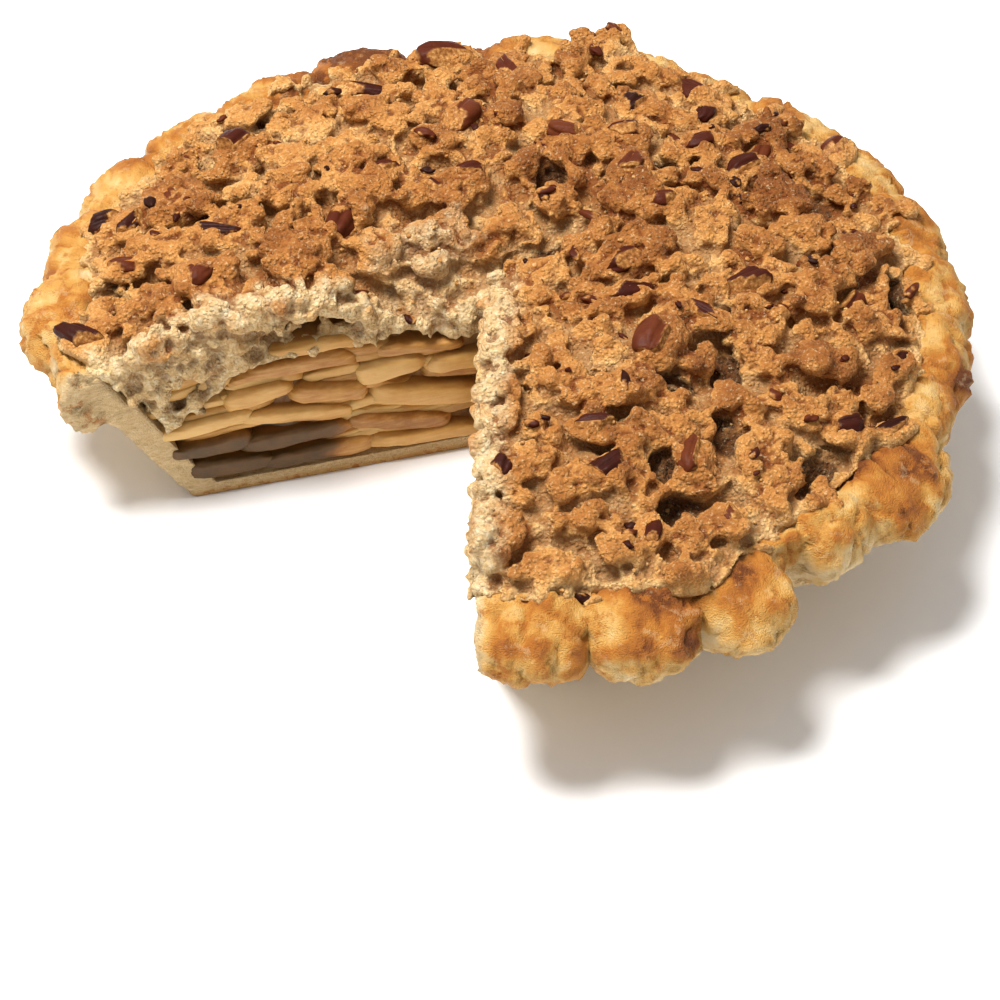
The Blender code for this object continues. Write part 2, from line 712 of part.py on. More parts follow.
def build_crumble(layout, group):
    """The crumble with its lumps, then the pecans in pockets of their own."""
    crumble = sweep("crumble", crumble_section, even_angles(SWEEP_STEPS))
    combine(crumble, lumps() + cut_crumbs(), "UNION")
    combine(crumble, [wedge_cutter("cut", -CUT_ROUGHNESS)], "DIFFERENCE")
    surface, pastry = surface_of(crumble), surface_of(group[0])
    finish = material("pecan", PECAN_COLOUR, 0.4)
    cutters = pit_cutters()
    for i, row in enumerate(PECANS):
        height = pecan_height(row, surface, pastry)
        name = f"pecan_{i + 1:02d}"
        group.append(pecan_object(name, row, height, i, 0.0, finish.copy()))
        cutters.append(pecan_object(f"pocket_{i}", row, height, i, POCKET_GAP))
    cutters.append(
        sweep(
            "pastry_bed",
            lambda angle: crust_section(angle, layout, BED_GAP),
            rim_angles(layout, 3.0),
        )
    )
    combine(crumble, cutters, "DIFFERENCE")
    bake_together(crumble)
    thin_out(crumble, CRUMBLE_FACES)
    tidy(crumble, material("crumble", CRUMBLE_COLOUR, 0.85))
    group.append(crumble)


def main():
    clear_scene()
    pie = bpy.data.collections.new("apple_crumble_pie")
    bpy.context.scene.collection.children.link(pie)
    layout = flutes()
    parts = []
    build_crust(layout, parts)
    build_filling(parts)
    build_crumble(layout, parts)
    for obj in parts:
        bpy.context.scene.collection.objects.unlink(obj)
        pie.objects.link(obj)


main()
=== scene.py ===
"""Looks for the apple crumble pie: pastry, apples, crumble and pecans built finely round
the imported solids, on a white floor in soft light.

Metres and degrees, in the solids' own frame: the pie's axis is Z, and angles run
counter-clockwise from +X seen from above. Colours are linear.
"""

import json
import math
import random

import bmesh
import bpy
import numpy as np
from mathutils import Matrix, Vector, noise
from mathutils.bvhtree import BVHTree

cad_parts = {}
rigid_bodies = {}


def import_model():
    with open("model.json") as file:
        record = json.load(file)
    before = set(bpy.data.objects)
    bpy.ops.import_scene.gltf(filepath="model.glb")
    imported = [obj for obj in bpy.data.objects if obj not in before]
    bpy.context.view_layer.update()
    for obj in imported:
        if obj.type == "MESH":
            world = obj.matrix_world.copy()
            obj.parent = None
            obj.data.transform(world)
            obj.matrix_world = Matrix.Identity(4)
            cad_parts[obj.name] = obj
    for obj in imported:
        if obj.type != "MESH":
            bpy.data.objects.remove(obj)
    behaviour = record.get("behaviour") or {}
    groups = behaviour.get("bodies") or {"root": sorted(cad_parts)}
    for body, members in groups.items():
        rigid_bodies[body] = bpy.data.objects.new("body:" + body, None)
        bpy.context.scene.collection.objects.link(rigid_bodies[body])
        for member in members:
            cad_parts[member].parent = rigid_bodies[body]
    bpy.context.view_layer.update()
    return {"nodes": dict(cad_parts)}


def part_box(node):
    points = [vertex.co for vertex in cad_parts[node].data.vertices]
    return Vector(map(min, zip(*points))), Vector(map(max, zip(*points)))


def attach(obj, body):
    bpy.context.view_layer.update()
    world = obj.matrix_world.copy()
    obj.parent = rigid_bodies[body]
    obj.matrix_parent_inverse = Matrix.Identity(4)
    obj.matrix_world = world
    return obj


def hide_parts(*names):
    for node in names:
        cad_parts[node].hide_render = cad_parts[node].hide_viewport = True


MM = 0.001
UP = Vector((0.0, 0.0, 1.0))

# Camera: its aim lies a little under the pie's middle, which keeps the pie high in the picture
CAMERA_TARGET, CAMERA_DISTANCE = Vector((0.0, 0.0, 0.035)), 1.0
CAMERA_ELEVATION, CAMERA_EXTRA_PITCH = 40.0, 2.506
CAMERA_LENS, CAMERA_SENSOR = 121.43, 36.0

# Studio: one round soft lamp, pale surroundings and a pale floor
LAMP_PLACE, LAMP_SIZE, LAMP_POWER, LAMP_COLOUR = Vector((-0.37, 0.02, 1.28)), 0.60, 35.0, (1.0, 0.99, 0.98)
SURROUND_STRENGTH = 0.54
FLOOR_SIZE, FLOOR_DROP, FLOOR_COLOUR = 6.0, 0.0002, (0.90, 0.90, 0.90)

# The missing slice lies between the two cuts
CUT_START, CUT_END = -92.5, 195.5

# Pastry shell, as in the solids
BASE_RADIUS = 0.095
FLOOR_THICKNESS = 0.0044
WALL_TOP_RADIUS, WALL_TOP_HEIGHT = 0.1165, 0.0335
WALL_THICKNESS = 0.0088
RIM_RADIUS, RIM_HEIGHT = 0.1255, 0.0430
RIM_REACH_IN, RIM_RISE, RIM_DROP = 0.0100, 0.0090, 0.0092
CREASE_REACH, FLUTE_REACH = 0.0088, 0.0062
FLUTE_RISE = 0.0024
FLUTE_TURN = 13.3
FRONT_FLUTES = (
    (-93.1, 1.5, 0.0), (-80.0, 2.0, -1.0), (-66.5, 2.1, -2.0), (-55.0, -1.1, -2.0), (-49.5, 0.6, 0.0),
    (-40.0, 1.5, -1.0), (-23.5, 0.3, 0.5), (-14.0, 0.5, 0.5), (-1.0, 0.9, 0.0),
)
END_FLUTES = ((171.5, 1.0, 0.0), (185.5, -0.7, 0.5))
FOLD_ANGLE, FOLD_SPREAD, FOLD_LIFT = 116.0, 17.0, 4.5
# Steps along each side of the pastry's section, round the pie, and through its thickness
OUTER_STEPS = (7, 1, 12, 16, 8, 7, 6, 7, 7)
INNER_STEPS = (13, 13, 9, 16, 12, 8)
CRUST_TURNS, CRUST_LAYERS = 690, 8

# Places on the rim where the pastry has browned more or less: angle, height in millimetres,
# how far it spreads in degrees and millimetres, and how much
BROWNED = (
    (-72.0, 50.0, 4.5, 4.0, 0.45), (-68.5, 46.0, 1.6, 2.5, 0.55), (-87.0, 51.0, 3.0, 2.5, 0.25),
    (-60.5, 51.0, 3.0, 3.0, 0.30), (-37.0, 50.0, 3.5, 4.0, 0.40), (-30.0, 52.0, 3.0, 3.0, 0.50),
    (106.0, 53.0, 9.0, 5.0, 0.60), (98.0, 50.0, 6.0, 5.0, 0.40), (-45.0, 42.0, 6.0, 6.0, -0.10),
    (10.0, 48.0, 7.0, 7.0, 0.22), (-14.0, 47.0, 4.0, 6.0, 0.30),
)

# Crumble: grain of its skin, and triangles kept
SKIN_SIZE, CRUMBLE_FACES = 0.00075, 196000
# Relief of its lumps: how far the height is averaged, how high they stand and how steeply
RELIEF_GRAIN, RELIEF_SPAN, SPREAD_SPAN, SKIN_SPAN = 0.0011, 0.0075, 0.0060, 0.0065
RELIEF_HEIGHT, RELIEF_SINK, THINNEST = 1.8, 3.1, 0.0016
LUMP_SIZE, LUMP_HEIGHT, LUMP_SPREAD = 0.0190, 6.0, 1.9
MAP_CELL, MAP_HALF = 0.001, 0.16
CLUMPS, CLUMP_SPACING = 90, 0.0105
CLUMP_REACH, CLUMP_BALLS = (0.0026, 0.0062), (0.0016, 0.0032)
NODULES, NODULE_RADII = 3200, (0.0010, 0.0026)
EDGE_DRIFTS, EDGE_CRUMBS, SOGGY_CRUMBS, CUT_CRUMBS = 95, 300, 130, 420
EDGE_RADIUS, EDGE_REACH, EDGE_FRONT = 0.1185, 0.0105, -78.0
GRAINS, GRAIN_RADII = 500, (0.0003, 0.00085)
# How far the crumble closes round a pecan, in millimetres
BED_MARGIN = 2.4
# Limits of the random turn, in radians, and noise seed of a single crumb
CRUMB_TURN, CRUMB_SEEDS = 6.3, 90

# Where the crumble by the missing slice has stayed pale
PALE_PLACE = (-0.020, 0.006)

# Layers of noise, each as how much, size of its bumps in millimetres, and seed
CRUST_SWELL = ((1.25, 13.0, 1), (0.65, 5.2, 2), (0.32, 2.2, 3))
CRUST_PATCHES = ((1.0, 16.0, 7), (0.7, 6.0, 8))
LUMP_RAGS = ((0.60, 9.5, 21), (0.25, 3.6, 22))
CRUMBLE_SWELL = ((0.45, 6.0, 43), (0.16, 1.5, 44))
TOAST_PATCHES = ((0.22, 30.0, 51), (0.26, 8.0, 52))
PALE_EDGE = ((3.5, 6.0, 53), (1.5, 2.5, 54))

# Holes between the lumps, as x, y, length, width and turn
PITS = (
    (44, -80, 4, 7, 0), (48, -93, 9, 5, 5), (62, -64, 4, 6, 30), (63, -40, 4, 8, 10),
    (48, -50, 6, 4, 0), (115, 1, 4, 9, 0), (86, -75, 9, 4, 45), (-107, -1, 9, 4, -10),
    (38, 99, 5, 4, 0), (47, 50, 8, 4, -20), (15, 44, 4, 8, 20), (11, 13, 13, 3, 28),
    (-70, 84, 7, 4, 20), (94, 40, 6, 4, 60),
)

# Chopped pecans, as x, y, length, width and turn in millimetres and degrees
PECANS = (
    (-118, 33, 11, 8, 20), (-109, 30, 14, 7, 62), (-86, 29, 12, 6, 35), (-83, 19, 15, 6, -5),
    (-98, 38, 10, 5, -60), (-87, -6, 14, 8, 70), (-47, 19, 16, 9, 75), (-80, 62, 13, 10, 60),
    (-110, 10, 10, 6, 5), (-120, -21, 17, 8, -35), (-34, 44, 9, 7, 30), (-21, 38, 12, 6, -40),
    (-9, 43, 9, 6, 20), (-12, 72, 15, 10, 65), (-42, 102, 24, 6, -12), (-18, 117, 18, 11, 10),
    (2, 107, 15, 8, -70), (42, 81, 11, 8, 50), (20, 63, 12, 8, -20), (38, 62, 12, 7, 20),
    (61, 61, 11, 7, 25), (63, 81, 9, 6, 70), (61, 101, 13, 8, -40), (79, 64, 11, 7, 75),
    (74, 51, 13, 8, 35), (89, 72, 9, 7, -30), (104, 71, 12, 8, 60), (39, 44, 13, 7, 70),
    (48, 26, 10, 7, 10), (36, 0, 14, 8, 35), (37, -14, 13, 7, 10), (72, -8, 15, 10, 35),
    (58, -25, 13, 6, -40), (45, -38, 18, 12, 65), (101, -8, 12, 8, 60), (114, -26, 14, 6, 70),
    (96, -61, 11, 8, 10), (110, -58, 12, 6, 35), (53, -77, 14, 8, 75), (33, -58, 9, 6, 80),
    (26, -72, 11, 7, 0), (30, -85, 12, 8, 40), (1, -86, 9, 7, 75), (62, -99, 9, 6, -70),
    (40, -105, 11, 6, 80),
)

# Apple slices at the cut at CUT_END: distance from the axis and height of the middle,
# half length, half thickness in millimetres, tilt in degrees, and how much they bow
SHOWN_SLICES = (
    (22, 7.6, 20, 2.6, 2, 0.5), (57, 8.4, 19, 3.4, -1, 0.8), (82, 9.6, 14, 3.6, 1, 0.6),
    (31, 15.0, 17, 3.2, 11, 1.0), (62, 16.6, 18, 3.4, -2, 1.0), (88, 18.0, 13, 3.2, -3, 0.8),
    (21, 23.0, 19, 4.2, 11, 0.8), (62, 24.2, 18, 2.7, 7, 1.6), (89, 26.6, 15, 2.7, -6, 1.2),
    (12, 34.0, 11, 3.6, 0, 1.0), (33, 35.6, 11, 4.2, -6, 1.4), (52, 30.4, 12, 3.8, 8, 1.8),
    (73, 34.0, 11, 3.6, -8, 2.0), (62, 41.6, 20, 2.9, -2, 4.5), (24, 41.6, 14, 2.5, 6, 1.6),
    (58, 48.4, 17, 2.3, 0, 3.0),
)
SLICE_DEPTH, SLICE_PROUD, SLICE_BLUNTNESS = 0.0075, 0.0014, 0.42
TUCKED_SLICES, TUCKED_SEED, TUCKED_BACK = 40, 7, 0.0022
HIDDEN_ROWS, HIDDEN_SEED = ((8, 3.0), (15.5, 3.2), (23, 3.1), (30.5, 3.2), (38, 3.0)), 5
# Grain of the filling behind the slices
CORE_GRAIN = 0.0016

# Small chips of pecan seen between the lumps, as x and y in millimetres, and how many more
CHIP_PLACES = (
    (-104, 32), (14, 32), (30, 119), (36, 130), (26, -18),
    (70, 39), (120, 0), (22, -123), (35, -102), (27, 24),
)
SCATTERED_CHIPS = 70


def heading(angle):
    """Cosine and sine of an angle in degrees."""
    return math.cos(math.radians(angle)), math.sin(math.radians(angle))


def polar(radius, angle, height):
    c, s = heading(angle)
    return Vector((radius * c, radius * s, height))


def ramp(values, low, high):
    """0 below low and 1 above high, with soft ends, for numbers or arrays."""
    share = np.clip((values - low) / (high - low), 0.0, 1.0)
    return share * share * (3.0 - 2.0 * share)


def ripple(point, size, seed):
    """Smooth noise from -1 to 1 with bumps of the given size."""
    return noise.noise(point / size + Vector((seed * 7.3, seed * 3.1, seed * 5.7)))


def places(points, size, seed):
    shift = np.array((seed * 7.3, seed * 3.1, seed * 5.7))
    return [Vector(row) for row in points / size + shift]


def ripples(points, size, seed):
    """The same noise at every row of an array."""
    return np.array([noise.noise(place) for place in places(points, size, seed)])


def layered(points, layers):
    """The sum of several layers of noise."""
    return sum(much * ripples(points, size * MM, seed) for much, size, seed in layers)


def cells(points, size, seed):
    """Round knobs of the given size that meet in sharp creases: 1 on each and 0 between."""
    near = np.array([noise.voronoi(place)[0][0] for place in places(points, size, seed)])
    return np.clip(1.0 - (near / 0.85) ** 2, 0.0, 1.0)


def thin_lines(points, size, seed, width):
    """1 along wandering lines, and 0 elsewhere."""
    return np.exp(-((ripples(points, size, seed) / width) ** 2))


# Meshes


def built(name, points, faces):
    """A smooth object from points and faces."""
    mesh = bpy.data.meshes.new(name)
    mesh.from_pydata(np.asarray(points).tolist(), [], [list(face) for face in faces])
    mesh.update()
    obj = bpy.data.objects.new(name, mesh)
    bpy.context.scene.collection.objects.link(obj)
    mesh.shade_smooth()
    return obj


def read(items, name, width, kind=float):
    """An array with one row for each item of a collection."""
    values = np.empty(width * len(items), dtype=kind)
    items.foreach_get(name, values)
    return values.reshape(-1, width)


def points_of(obj):
    return read(obj.data.vertices, "co", 3)


def move_points(obj, points):
    obj.data.vertices.foreach_set("co", points.ravel())
    obj.data.update()


def normals_of(obj):
    return read(obj.data.vertex_normals, "vector", 3)


def store(obj, **named):
    """Numbers for each point that the materials read by name."""
    for name, values in named.items():
        attribute = obj.data.attributes.new(name, "FLOAT", "POINT")
        attribute.data.foreach_set("value", np.asarray(values, dtype=np.float32))


def edges_of(obj):
    return read(obj.data.edges, "vertices", 2, np.int64)


def blurred(values, edges, rounds):
    """Each vertex's values moved to the mean of its neighbours', so many times over."""
    first, second = edges[:, 0], edges[:, 1]
    many = len(values)
    count = np.bincount(first, minlength=many) + np.bincount(second, minlength=many)
    for _ in range(rounds):
        columns = [
            np.bincount(first, values[second, k], many) + np.bincount(second, values[first, k], many)
            for k in range(values.shape[1])
        ]
        values = np.stack(columns, axis=1) / np.maximum(count, 1)[:, None]
    return values


def applied(obj):
    """Gives an object the mesh that its modifiers make."""
    bpy.context.view_layer.update()
    graph = bpy.context.evaluated_depsgraph_get()
    mesh = bpy.data.meshes.new_from_object(obj.evaluated_get(graph))
    obj.modifiers.clear()
    obj.data = mesh
    mesh.shade_smooth()


def remeshed(obj, grain):
    """Gives an object one closed skin of this grain."""
    skin = obj.modifiers.new("skin", "REMESH")
    skin.mode = "VOXEL"
    skin.voxel_size = grain
    applied(obj)


def arrays_of(bm):
    """Points and triangles of a finished bmesh, which is freed."""
    bmesh.ops.triangulate(bm, faces=bm.faces)
    points = np.array([vert.co for vert in bm.verts])
    faces = np.array([[vert.index for vert in face.verts] for face in bm.faces])
    bm.free()
    return points, faces


def node_arrays(node):
    """Points and triangles of a solid, with its corners joined."""
    bm = bmesh.new()
    bm.from_mesh(node.data)
    bmesh.ops.remove_doubles(bm, verts=bm.verts, dist=0.001 * MM)
    return arrays_of(bm)


def ball(subdivisions):
    """Points and triangles of a unit ball."""
    bm = bmesh.new()
    bmesh.ops.create_icosphere(bm, subdivisions=subdivisions, radius=1.0)
    return arrays_of(bm)


def triangles_of(obj):
    """Points and triangles of an object."""
    obj.data.calc_loop_triangles()
    return points_of(obj), read(obj.data.loop_triangles, "vertices", 3, np.int64)


def stack(shapes):
    """One pair of arrays from many pairs of points and faces."""
    points, faces, start = [], [], 0
    for some_points, some_faces in shapes:
        points.append(some_points)
        faces.append(some_faces + start)
        start += len(some_points)
    return np.concatenate(points), np.concatenate(faces)


def surface_of(points, faces):
    return BVHTree.FromPolygons([Vector(p) for p in points], faces.tolist())


# Pastry


def flutes():
    """Each pinched flute of the rim as (first angle, last angle, reach, lift)."""
    draw = random.Random(11)
    first, last = FRONT_FLUTES[-1][0], END_FLUTES[0][0]
    count = round((last - first) / FLUTE_TURN)
    made = list(FRONT_FLUTES)
    for i in range(1, count):
        angle = first + (last - first) * (i + draw.uniform(-0.14, 0.14)) / count
        folded = FOLD_LIFT * max(0.0, 1.0 - abs(angle + 6.0 - FOLD_ANGLE) / FOLD_SPREAD)
        made.append((angle, draw.uniform(0.7, 1.3), draw.uniform(-0.9, 1.3) + folded))
    made += END_FLUTES
    ends = [flute[0] for flute in made[1:]] + [CUT_END + 8.0]
    return [(angle, end, reach, lift * MM) for (angle, reach, lift), end in zip(made, ends)]


def flute_at(angle, layout):
    """(how far out of the dip between flutes, reach, lift) of the rim at an angle."""
    for low, high, reach, lift in layout:
        if low <= angle < high:
            across = 2.0 * (angle - low) / (high - low) - 1.0
            return max(0.0, 1.0 - abs(across) ** 2.4) ** 0.62, reach, lift
    return 0.0, 1.0, 0.0


def crust_corners(angle, layout):
    """Corners of the pastry's section at an angle, from the axis under it to the axis above."""
    puff, reach, lift = flute_at(angle, layout)
    out = CREASE_REACH + FLUTE_REACH * puff * reach
    up = RIM_RISE + FLUTE_RISE * puff
    down = RIM_DROP + 0.6 * FLUTE_RISE * puff
    centre_z = RIM_HEIGHT + lift * puff
    inner_z = WALL_TOP_HEIGHT + 3.0 * MM
    return np.array(
        [
            (0.0, 0.0),
            (BASE_RADIUS - 1.5 * MM, 0.0),
            (BASE_RADIUS, 0.9 * MM),
            (BASE_RADIUS + 9.0 * MM, 14.5 * MM),
            (WALL_TOP_RADIUS, WALL_TOP_HEIGHT),
            (RIM_RADIUS - 3.0 * MM, centre_z - down),
            (RIM_RADIUS + 0.62 * out, centre_z - 0.72 * down),
            (RIM_RADIUS + out, centre_z - 0.05 * down),
            (RIM_RADIUS + 0.72 * out, centre_z + 0.70 * up),
            (RIM_RADIUS, centre_z + up),
            (RIM_RADIUS - 0.75 * RIM_REACH_IN, centre_z + 0.62 * up),
            (RIM_RADIUS - 1.25 * RIM_REACH_IN, centre_z - 0.10 * up),
            (WALL_TOP_RADIUS - WALL_THICKNESS, inner_z),
            (BASE_RADIUS + 9.0 * MM - WALL_THICKNESS, 15.0 * MM),
            (BASE_RADIUS - 7.5 * MM, FLOOR_THICKNESS),
            (0.0, FLOOR_THICKNESS),
        ]
    )


def crust_line(angle, layout):
    """Fine section: a curve through the corners, straight where the pastry lies flat."""
    corners = crust_corners(angle, layout)
    steps = OUTER_STEPS + INNER_STEPS
    line = []
    for i, count in enumerate(steps):
        here, there = corners[i], corners[i + 1]
        curved = 3 <= i <= 12
        before = corners[i - 1] if curved else here - (there - here)
        after = corners[i + 2] if curved else there + (there - here)
        for t in np.arange(count) / count:
            pull = (there - before) * t + (2 * before - 5 * here + 4 * there - after) * t * t
            pull = pull + (3 * here - before - 3 * there + after) * t * t * t
            line.append(here + 0.5 * pull)
    line.append(corners[-1])
    return np.array(line)


def crust_arrays():
    """Points and faces of the pastry."""
    layout = flutes()
    angles = np.linspace(CUT_START, CUT_END, CRUST_TURNS + 1)
    lines = [crust_line(angle, layout) for angle in angles]
    many = len(lines[0])
    points, faces = [], []
    for angle, line in zip(angles, lines):
        c, s = heading(angle)
        points.append(np.stack([line[:, 0] * c, line[:, 0] * s, line[:, 1]], 1))
    for j in range(CRUST_TURNS):
        for i in range(many - 1):
            a, b = j * many + i, (j + 1) * many + i
            faces.append((a, b, b + 1, a + 1))
    points = np.concatenate(points)
    half = (many - 1) // 2
    extra = []
    for j, flip in ((0, False), (CRUST_TURNS, True)):
        base = j * many
        grid = []
        for i in range(half):
            low, high = points[base + i], points[base + many - 1 - i]
            row = [base + i]
            for k in range(1, CRUST_LAYERS):
                row.append(len(points) + len(extra))
                extra.append(low + (high - low) * k / CRUST_LAYERS)
            row.append(base + many - 1 - i)
            grid.append(row)
        for i in range(half - 1):
            for k in range(CRUST_LAYERS):
                quad = (grid[i][k], grid[i + 1][k], grid[i + 1][k + 1], grid[i][k + 1])
                faces.append(quad[::-1] if flip else quad)
        tip = [*grid[-1], base + half]
        faces.append(tuple(tip[::-1] if flip else tip))
    return np.concatenate([points, np.array(extra)]), faces


def crust_piece():
    points, faces = crust_arrays()
    crust = built("crust_pastry", points, faces)
    bm = bmesh.new()
    bm.from_mesh(crust.data)
    bmesh.ops.remove_doubles(bm, verts=bm.verts, dist=0.02 * MM)
    bmesh.ops.dissolve_degenerate(bm, dist=0.005 * MM, edges=bm.edges)
    bmesh.ops.recalc_face_normals(bm, faces=bm.faces)
    bm.to_mesh(crust.data)
    bm.free()
    roughen_crust(crust)
    return crust


def roughen_crust(crust):
    """Blisters, wrinkles and flaky cuts, then the browning that the material reads."""
    points, normals = points_of(crust), normals_of(crust)
    radius, angle = np.hypot(points[:, 0], points[:, 1]), angles_of(points)
    rim = ramp(radius, WALL_TOP_RADIUS, WALL_TOP_RADIUS + 5.0 * MM)
    cut = 1.0 - ramp(cut_distance(points), 0.3 * MM, 1.6 * MM)
    swell = layered(points, CRUST_SWELL)
    folds = 1.35 * thin_lines(points, 12.0 * MM, 9, 0.060) + 0.75 * thin_lines(points, 6.0 * MM, 10, 0.085)
    flakes = 0.75 * ramp(ripples(points, 9.0 * MM, 12), 0.05, 0.11)
    flakes += 0.50 * ramp(ripples(points, 4.5 * MM, 13), 0.06, 0.14)
    blister = flakes - folds
    seam_height = 36.5 * MM + 2.2 * MM * ripples(points * (1, 1, 0), 14.0 * MM, 5)
    seam = np.exp(-(((points[:, 2] - seam_height) / (0.6 * MM)) ** 2))
    outer = ramp(radius, RIM_RADIUS + 1.0 * MM, RIM_RADIUS + 5.0 * MM)
    rough = (swell + blister) * (0.2 + 0.8 * rim) - 2.0 * seam * outer
    rough += 0.35 * cut * ripples(points * (1, 1, 2.6), 2.4 * MM, 6)
    standing = ramp(points[:, 2], 0.3 * MM, 2.5 * MM)
    points = points + normals * (rough * standing * MM)[:, None]
    move_points(crust, points)
    normals = normals_of(crust)
    top = ramp(normals[:, 2], -0.1, 0.9)
    brown = 0.06 + 0.27 * rim * top + 0.34 * layered(points, CRUST_PATCHES) * (0.4 + 0.6 * rim)
    brown += (0.20 * flakes + 0.10 * folds + 0.10 * swell) * rim
    brown += browning(points, angle)
    base = 1.0 - ramp(points[:, 2], 0.8 * MM, 2.8 * MM)
    toast = np.clip(brown + 0.40 * base, 0.0, 1.0)
    store(crust, toast=toast, fresh=cut * (1.0 - 0.65 * base), seam=seam * outer)


def browning(points, angle):
    """How much more each point of the rim has browned than the rest."""
    total = np.zeros(len(points))
    for centre, height, spread, rise, much in BROWNED:
        across = (angle - centre) / spread
        up = (points[:, 2] / MM - height) / rise
        total += much * np.exp(-0.5 * (across**2 + up**2))
    return total


def angles_of(points):
    """Each point's angle, counted up from the first cut."""
    angle = np.degrees(np.arctan2(points[:, 1], points[:, 0]))
    return np.where(angle < CUT_START - 15.0, angle + 360.0, angle)


def cut_distance(points):
    """How far each point stands behind the nearer cut."""
    made = []
    for cut, sign in ((CUT_START, 1.0), (CUT_END, -1.0)):
        c, s = heading(cut)
        behind = sign * (points[:, 1] * c - points[:, 0] * s)
        along = points[:, 0] * c + points[:, 1] * s
        made.append(np.where(along > -2.0 * MM, np.abs(behind), 1.0))
    return np.minimum(*made)


# Crumble


def pecan_centres():
    """Each pecan's row with the height of its solid's middle."""
    made = []
    for i, row in enumerate(PECANS):
        low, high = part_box(f"pecan_{i + 1:02d}")
        made.append((row, 0.5 * (low.z + high.z)))
    return made


def oval(centre, size, turn, subdivisions, crag, seed):
    """A craggy ball, squashed and turned."""
    points, faces = ball(subdivisions)
    noisy = np.array([1.0 + crag * ripple(Vector(p), 0.9, seed) for p in points])
    shaped = points * noisy[:, None] * np.array(size)
    c, s = math.cos(turn), math.sin(turn)
    x, y, z = shaped.T
    return np.stack([x * c - y * s, x * s + y * c, z], 1) + np.array(centre), faces


def crumb(draw, centre, radius, sizes, level, crag, normal=None, sink=None):
    """One crumb of about this radius, sunk at random along the normal where there is one."""
    size = [radius * draw.uniform(*sizes) for _ in range(3)]
    if sink:
        centre = centre - normal * radius * draw.uniform(*sink)
    return oval(centre, size, draw.uniform(0.0, CRUMB_TURN), level, crag, draw.random() * CRUMB_SEEDS)


def in_oval(x, y, row, share, margin):
    """Whether a place lies in the oval of a row of x, y, length, width and turn."""
    ox, oy, length, width, turn = row
    c, s = heading(turn)
    dx, dy = x - ox * MM, y - oy * MM
    along, across = dx * c + dy * s, dy * c - dx * s
    a, b = share * length * MM + margin, share * width * MM + margin
    return (along / a) ** 2 + (across / b) ** 2 < 1.0


def near_pecan(x, y, margin):
    return any(in_oval(x, y, row, 0.5, margin) for row in PECANS)


def near_pit(x, y, margin):
    return any(in_oval(x, y, row, 1.0, margin) for row in PITS)


def face_samples(points, faces, count, seed, wanted):
    """Places spread evenly by area over the faces that wanted() keeps: (place, normal)."""
    a, b, c = points[faces[:, 0]], points[faces[:, 1]], points[faces[:, 2]]
    cross = np.cross(b - a, c - a)
    size = np.linalg.norm(cross, axis=1)
    normal = cross / np.maximum(size, 1e-12)[:, None]
    weight = size * wanted((a + b + c) / 3.0, normal)
    source = np.random.default_rng(seed)
    picked = source.choice(len(faces), count, p=weight / weight.sum())
    u, v = source.random(count), source.random(count)
    over = u + v > 1.0
    u[over], v[over] = 1.0 - u[over], 1.0 - v[over]
    spots = a[picked] + (b - a)[picked] * u[:, None] + (c - a)[picked] * v[:, None]
    return spots, normal[picked]


def crumble_shown(middle, normal):
    """Which faces of the crumble can be seen: its top and sides, not its bed."""
    radius = np.hypot(middle[:, 0], middle[:, 1])
    up = normal[:, 2] > -0.25
    side = cut_distance(middle) < 3.0 * MM
    return np.where(up | side, 1.0, 0.0) * (radius < 0.135)


def clump(spot, normal, draw):
    """One clump: a crowded row of craggy balls that lie along the surface."""
    reach = draw.uniform(*CLUMP_REACH)
    narrow = draw.uniform(0.35, 0.8)
    heading = draw.uniform(0.0, 2.0 * math.pi)
    along = Vector((math.cos(heading), math.sin(heading), 0.0))
    up = Vector(normal).normalized()
    along = (along - up * along.dot(up)).normalized()
    across = up.cross(along)
    made = []
    for _ in range(4 + round(700 * reach)):
        turn, out = draw.uniform(0.0, 2.0 * math.pi), math.sqrt(draw.random())
        place = Vector(spot) + along * (reach * out * math.cos(turn))
        place += across * (reach * narrow * out * math.sin(turn))
        place += up * ((1.0 - 0.8 * out) * 0.30 * reach - 0.4 * MM)
        low, high = CLUMP_BALLS
        radius = (low + (high - low) * draw.random() ** 1.5) * (1.0 - 0.25 * out)
        made.append(crumb(draw, place, radius, (0.8, 1.25), 2, 0.45))
    return made


def clumps(points, faces):
    """Clumps over the crumble, a little apart and clear of the pecans and holes."""

    def upward(middle, normal):
        return crumble_shown(middle, normal) * (normal[:, 2] > 0.25)

    draw = random.Random(25)
    spots, normals = face_samples(points, faces, 9000, 26, upward)
    inside = lumps(spots)[0] > 0.16
    kept, made = [], []
    for spot, normal in zip(spots[inside], normals[inside]):
        if len(kept) >= CLUMPS:
            break
        x, y = spot[0], spot[1]
        if near_pecan(x, y, 1.2 * MM) or near_pit(x, y, 2.0 * MM):
            continue
        room = CLUMP_SPACING * (1.0 + 0.45 * ripple(Vector((x, y, 0.0)), 24.0 * MM, 27))
        if any(math.hypot(x - a, y - b) < room for a, b in kept):
            continue
        if cut_distance(spot[None, :])[0] < 3.0 * MM:
            continue
        kept.append((x, y))
        made += clump(spot, normal, draw)
    return made


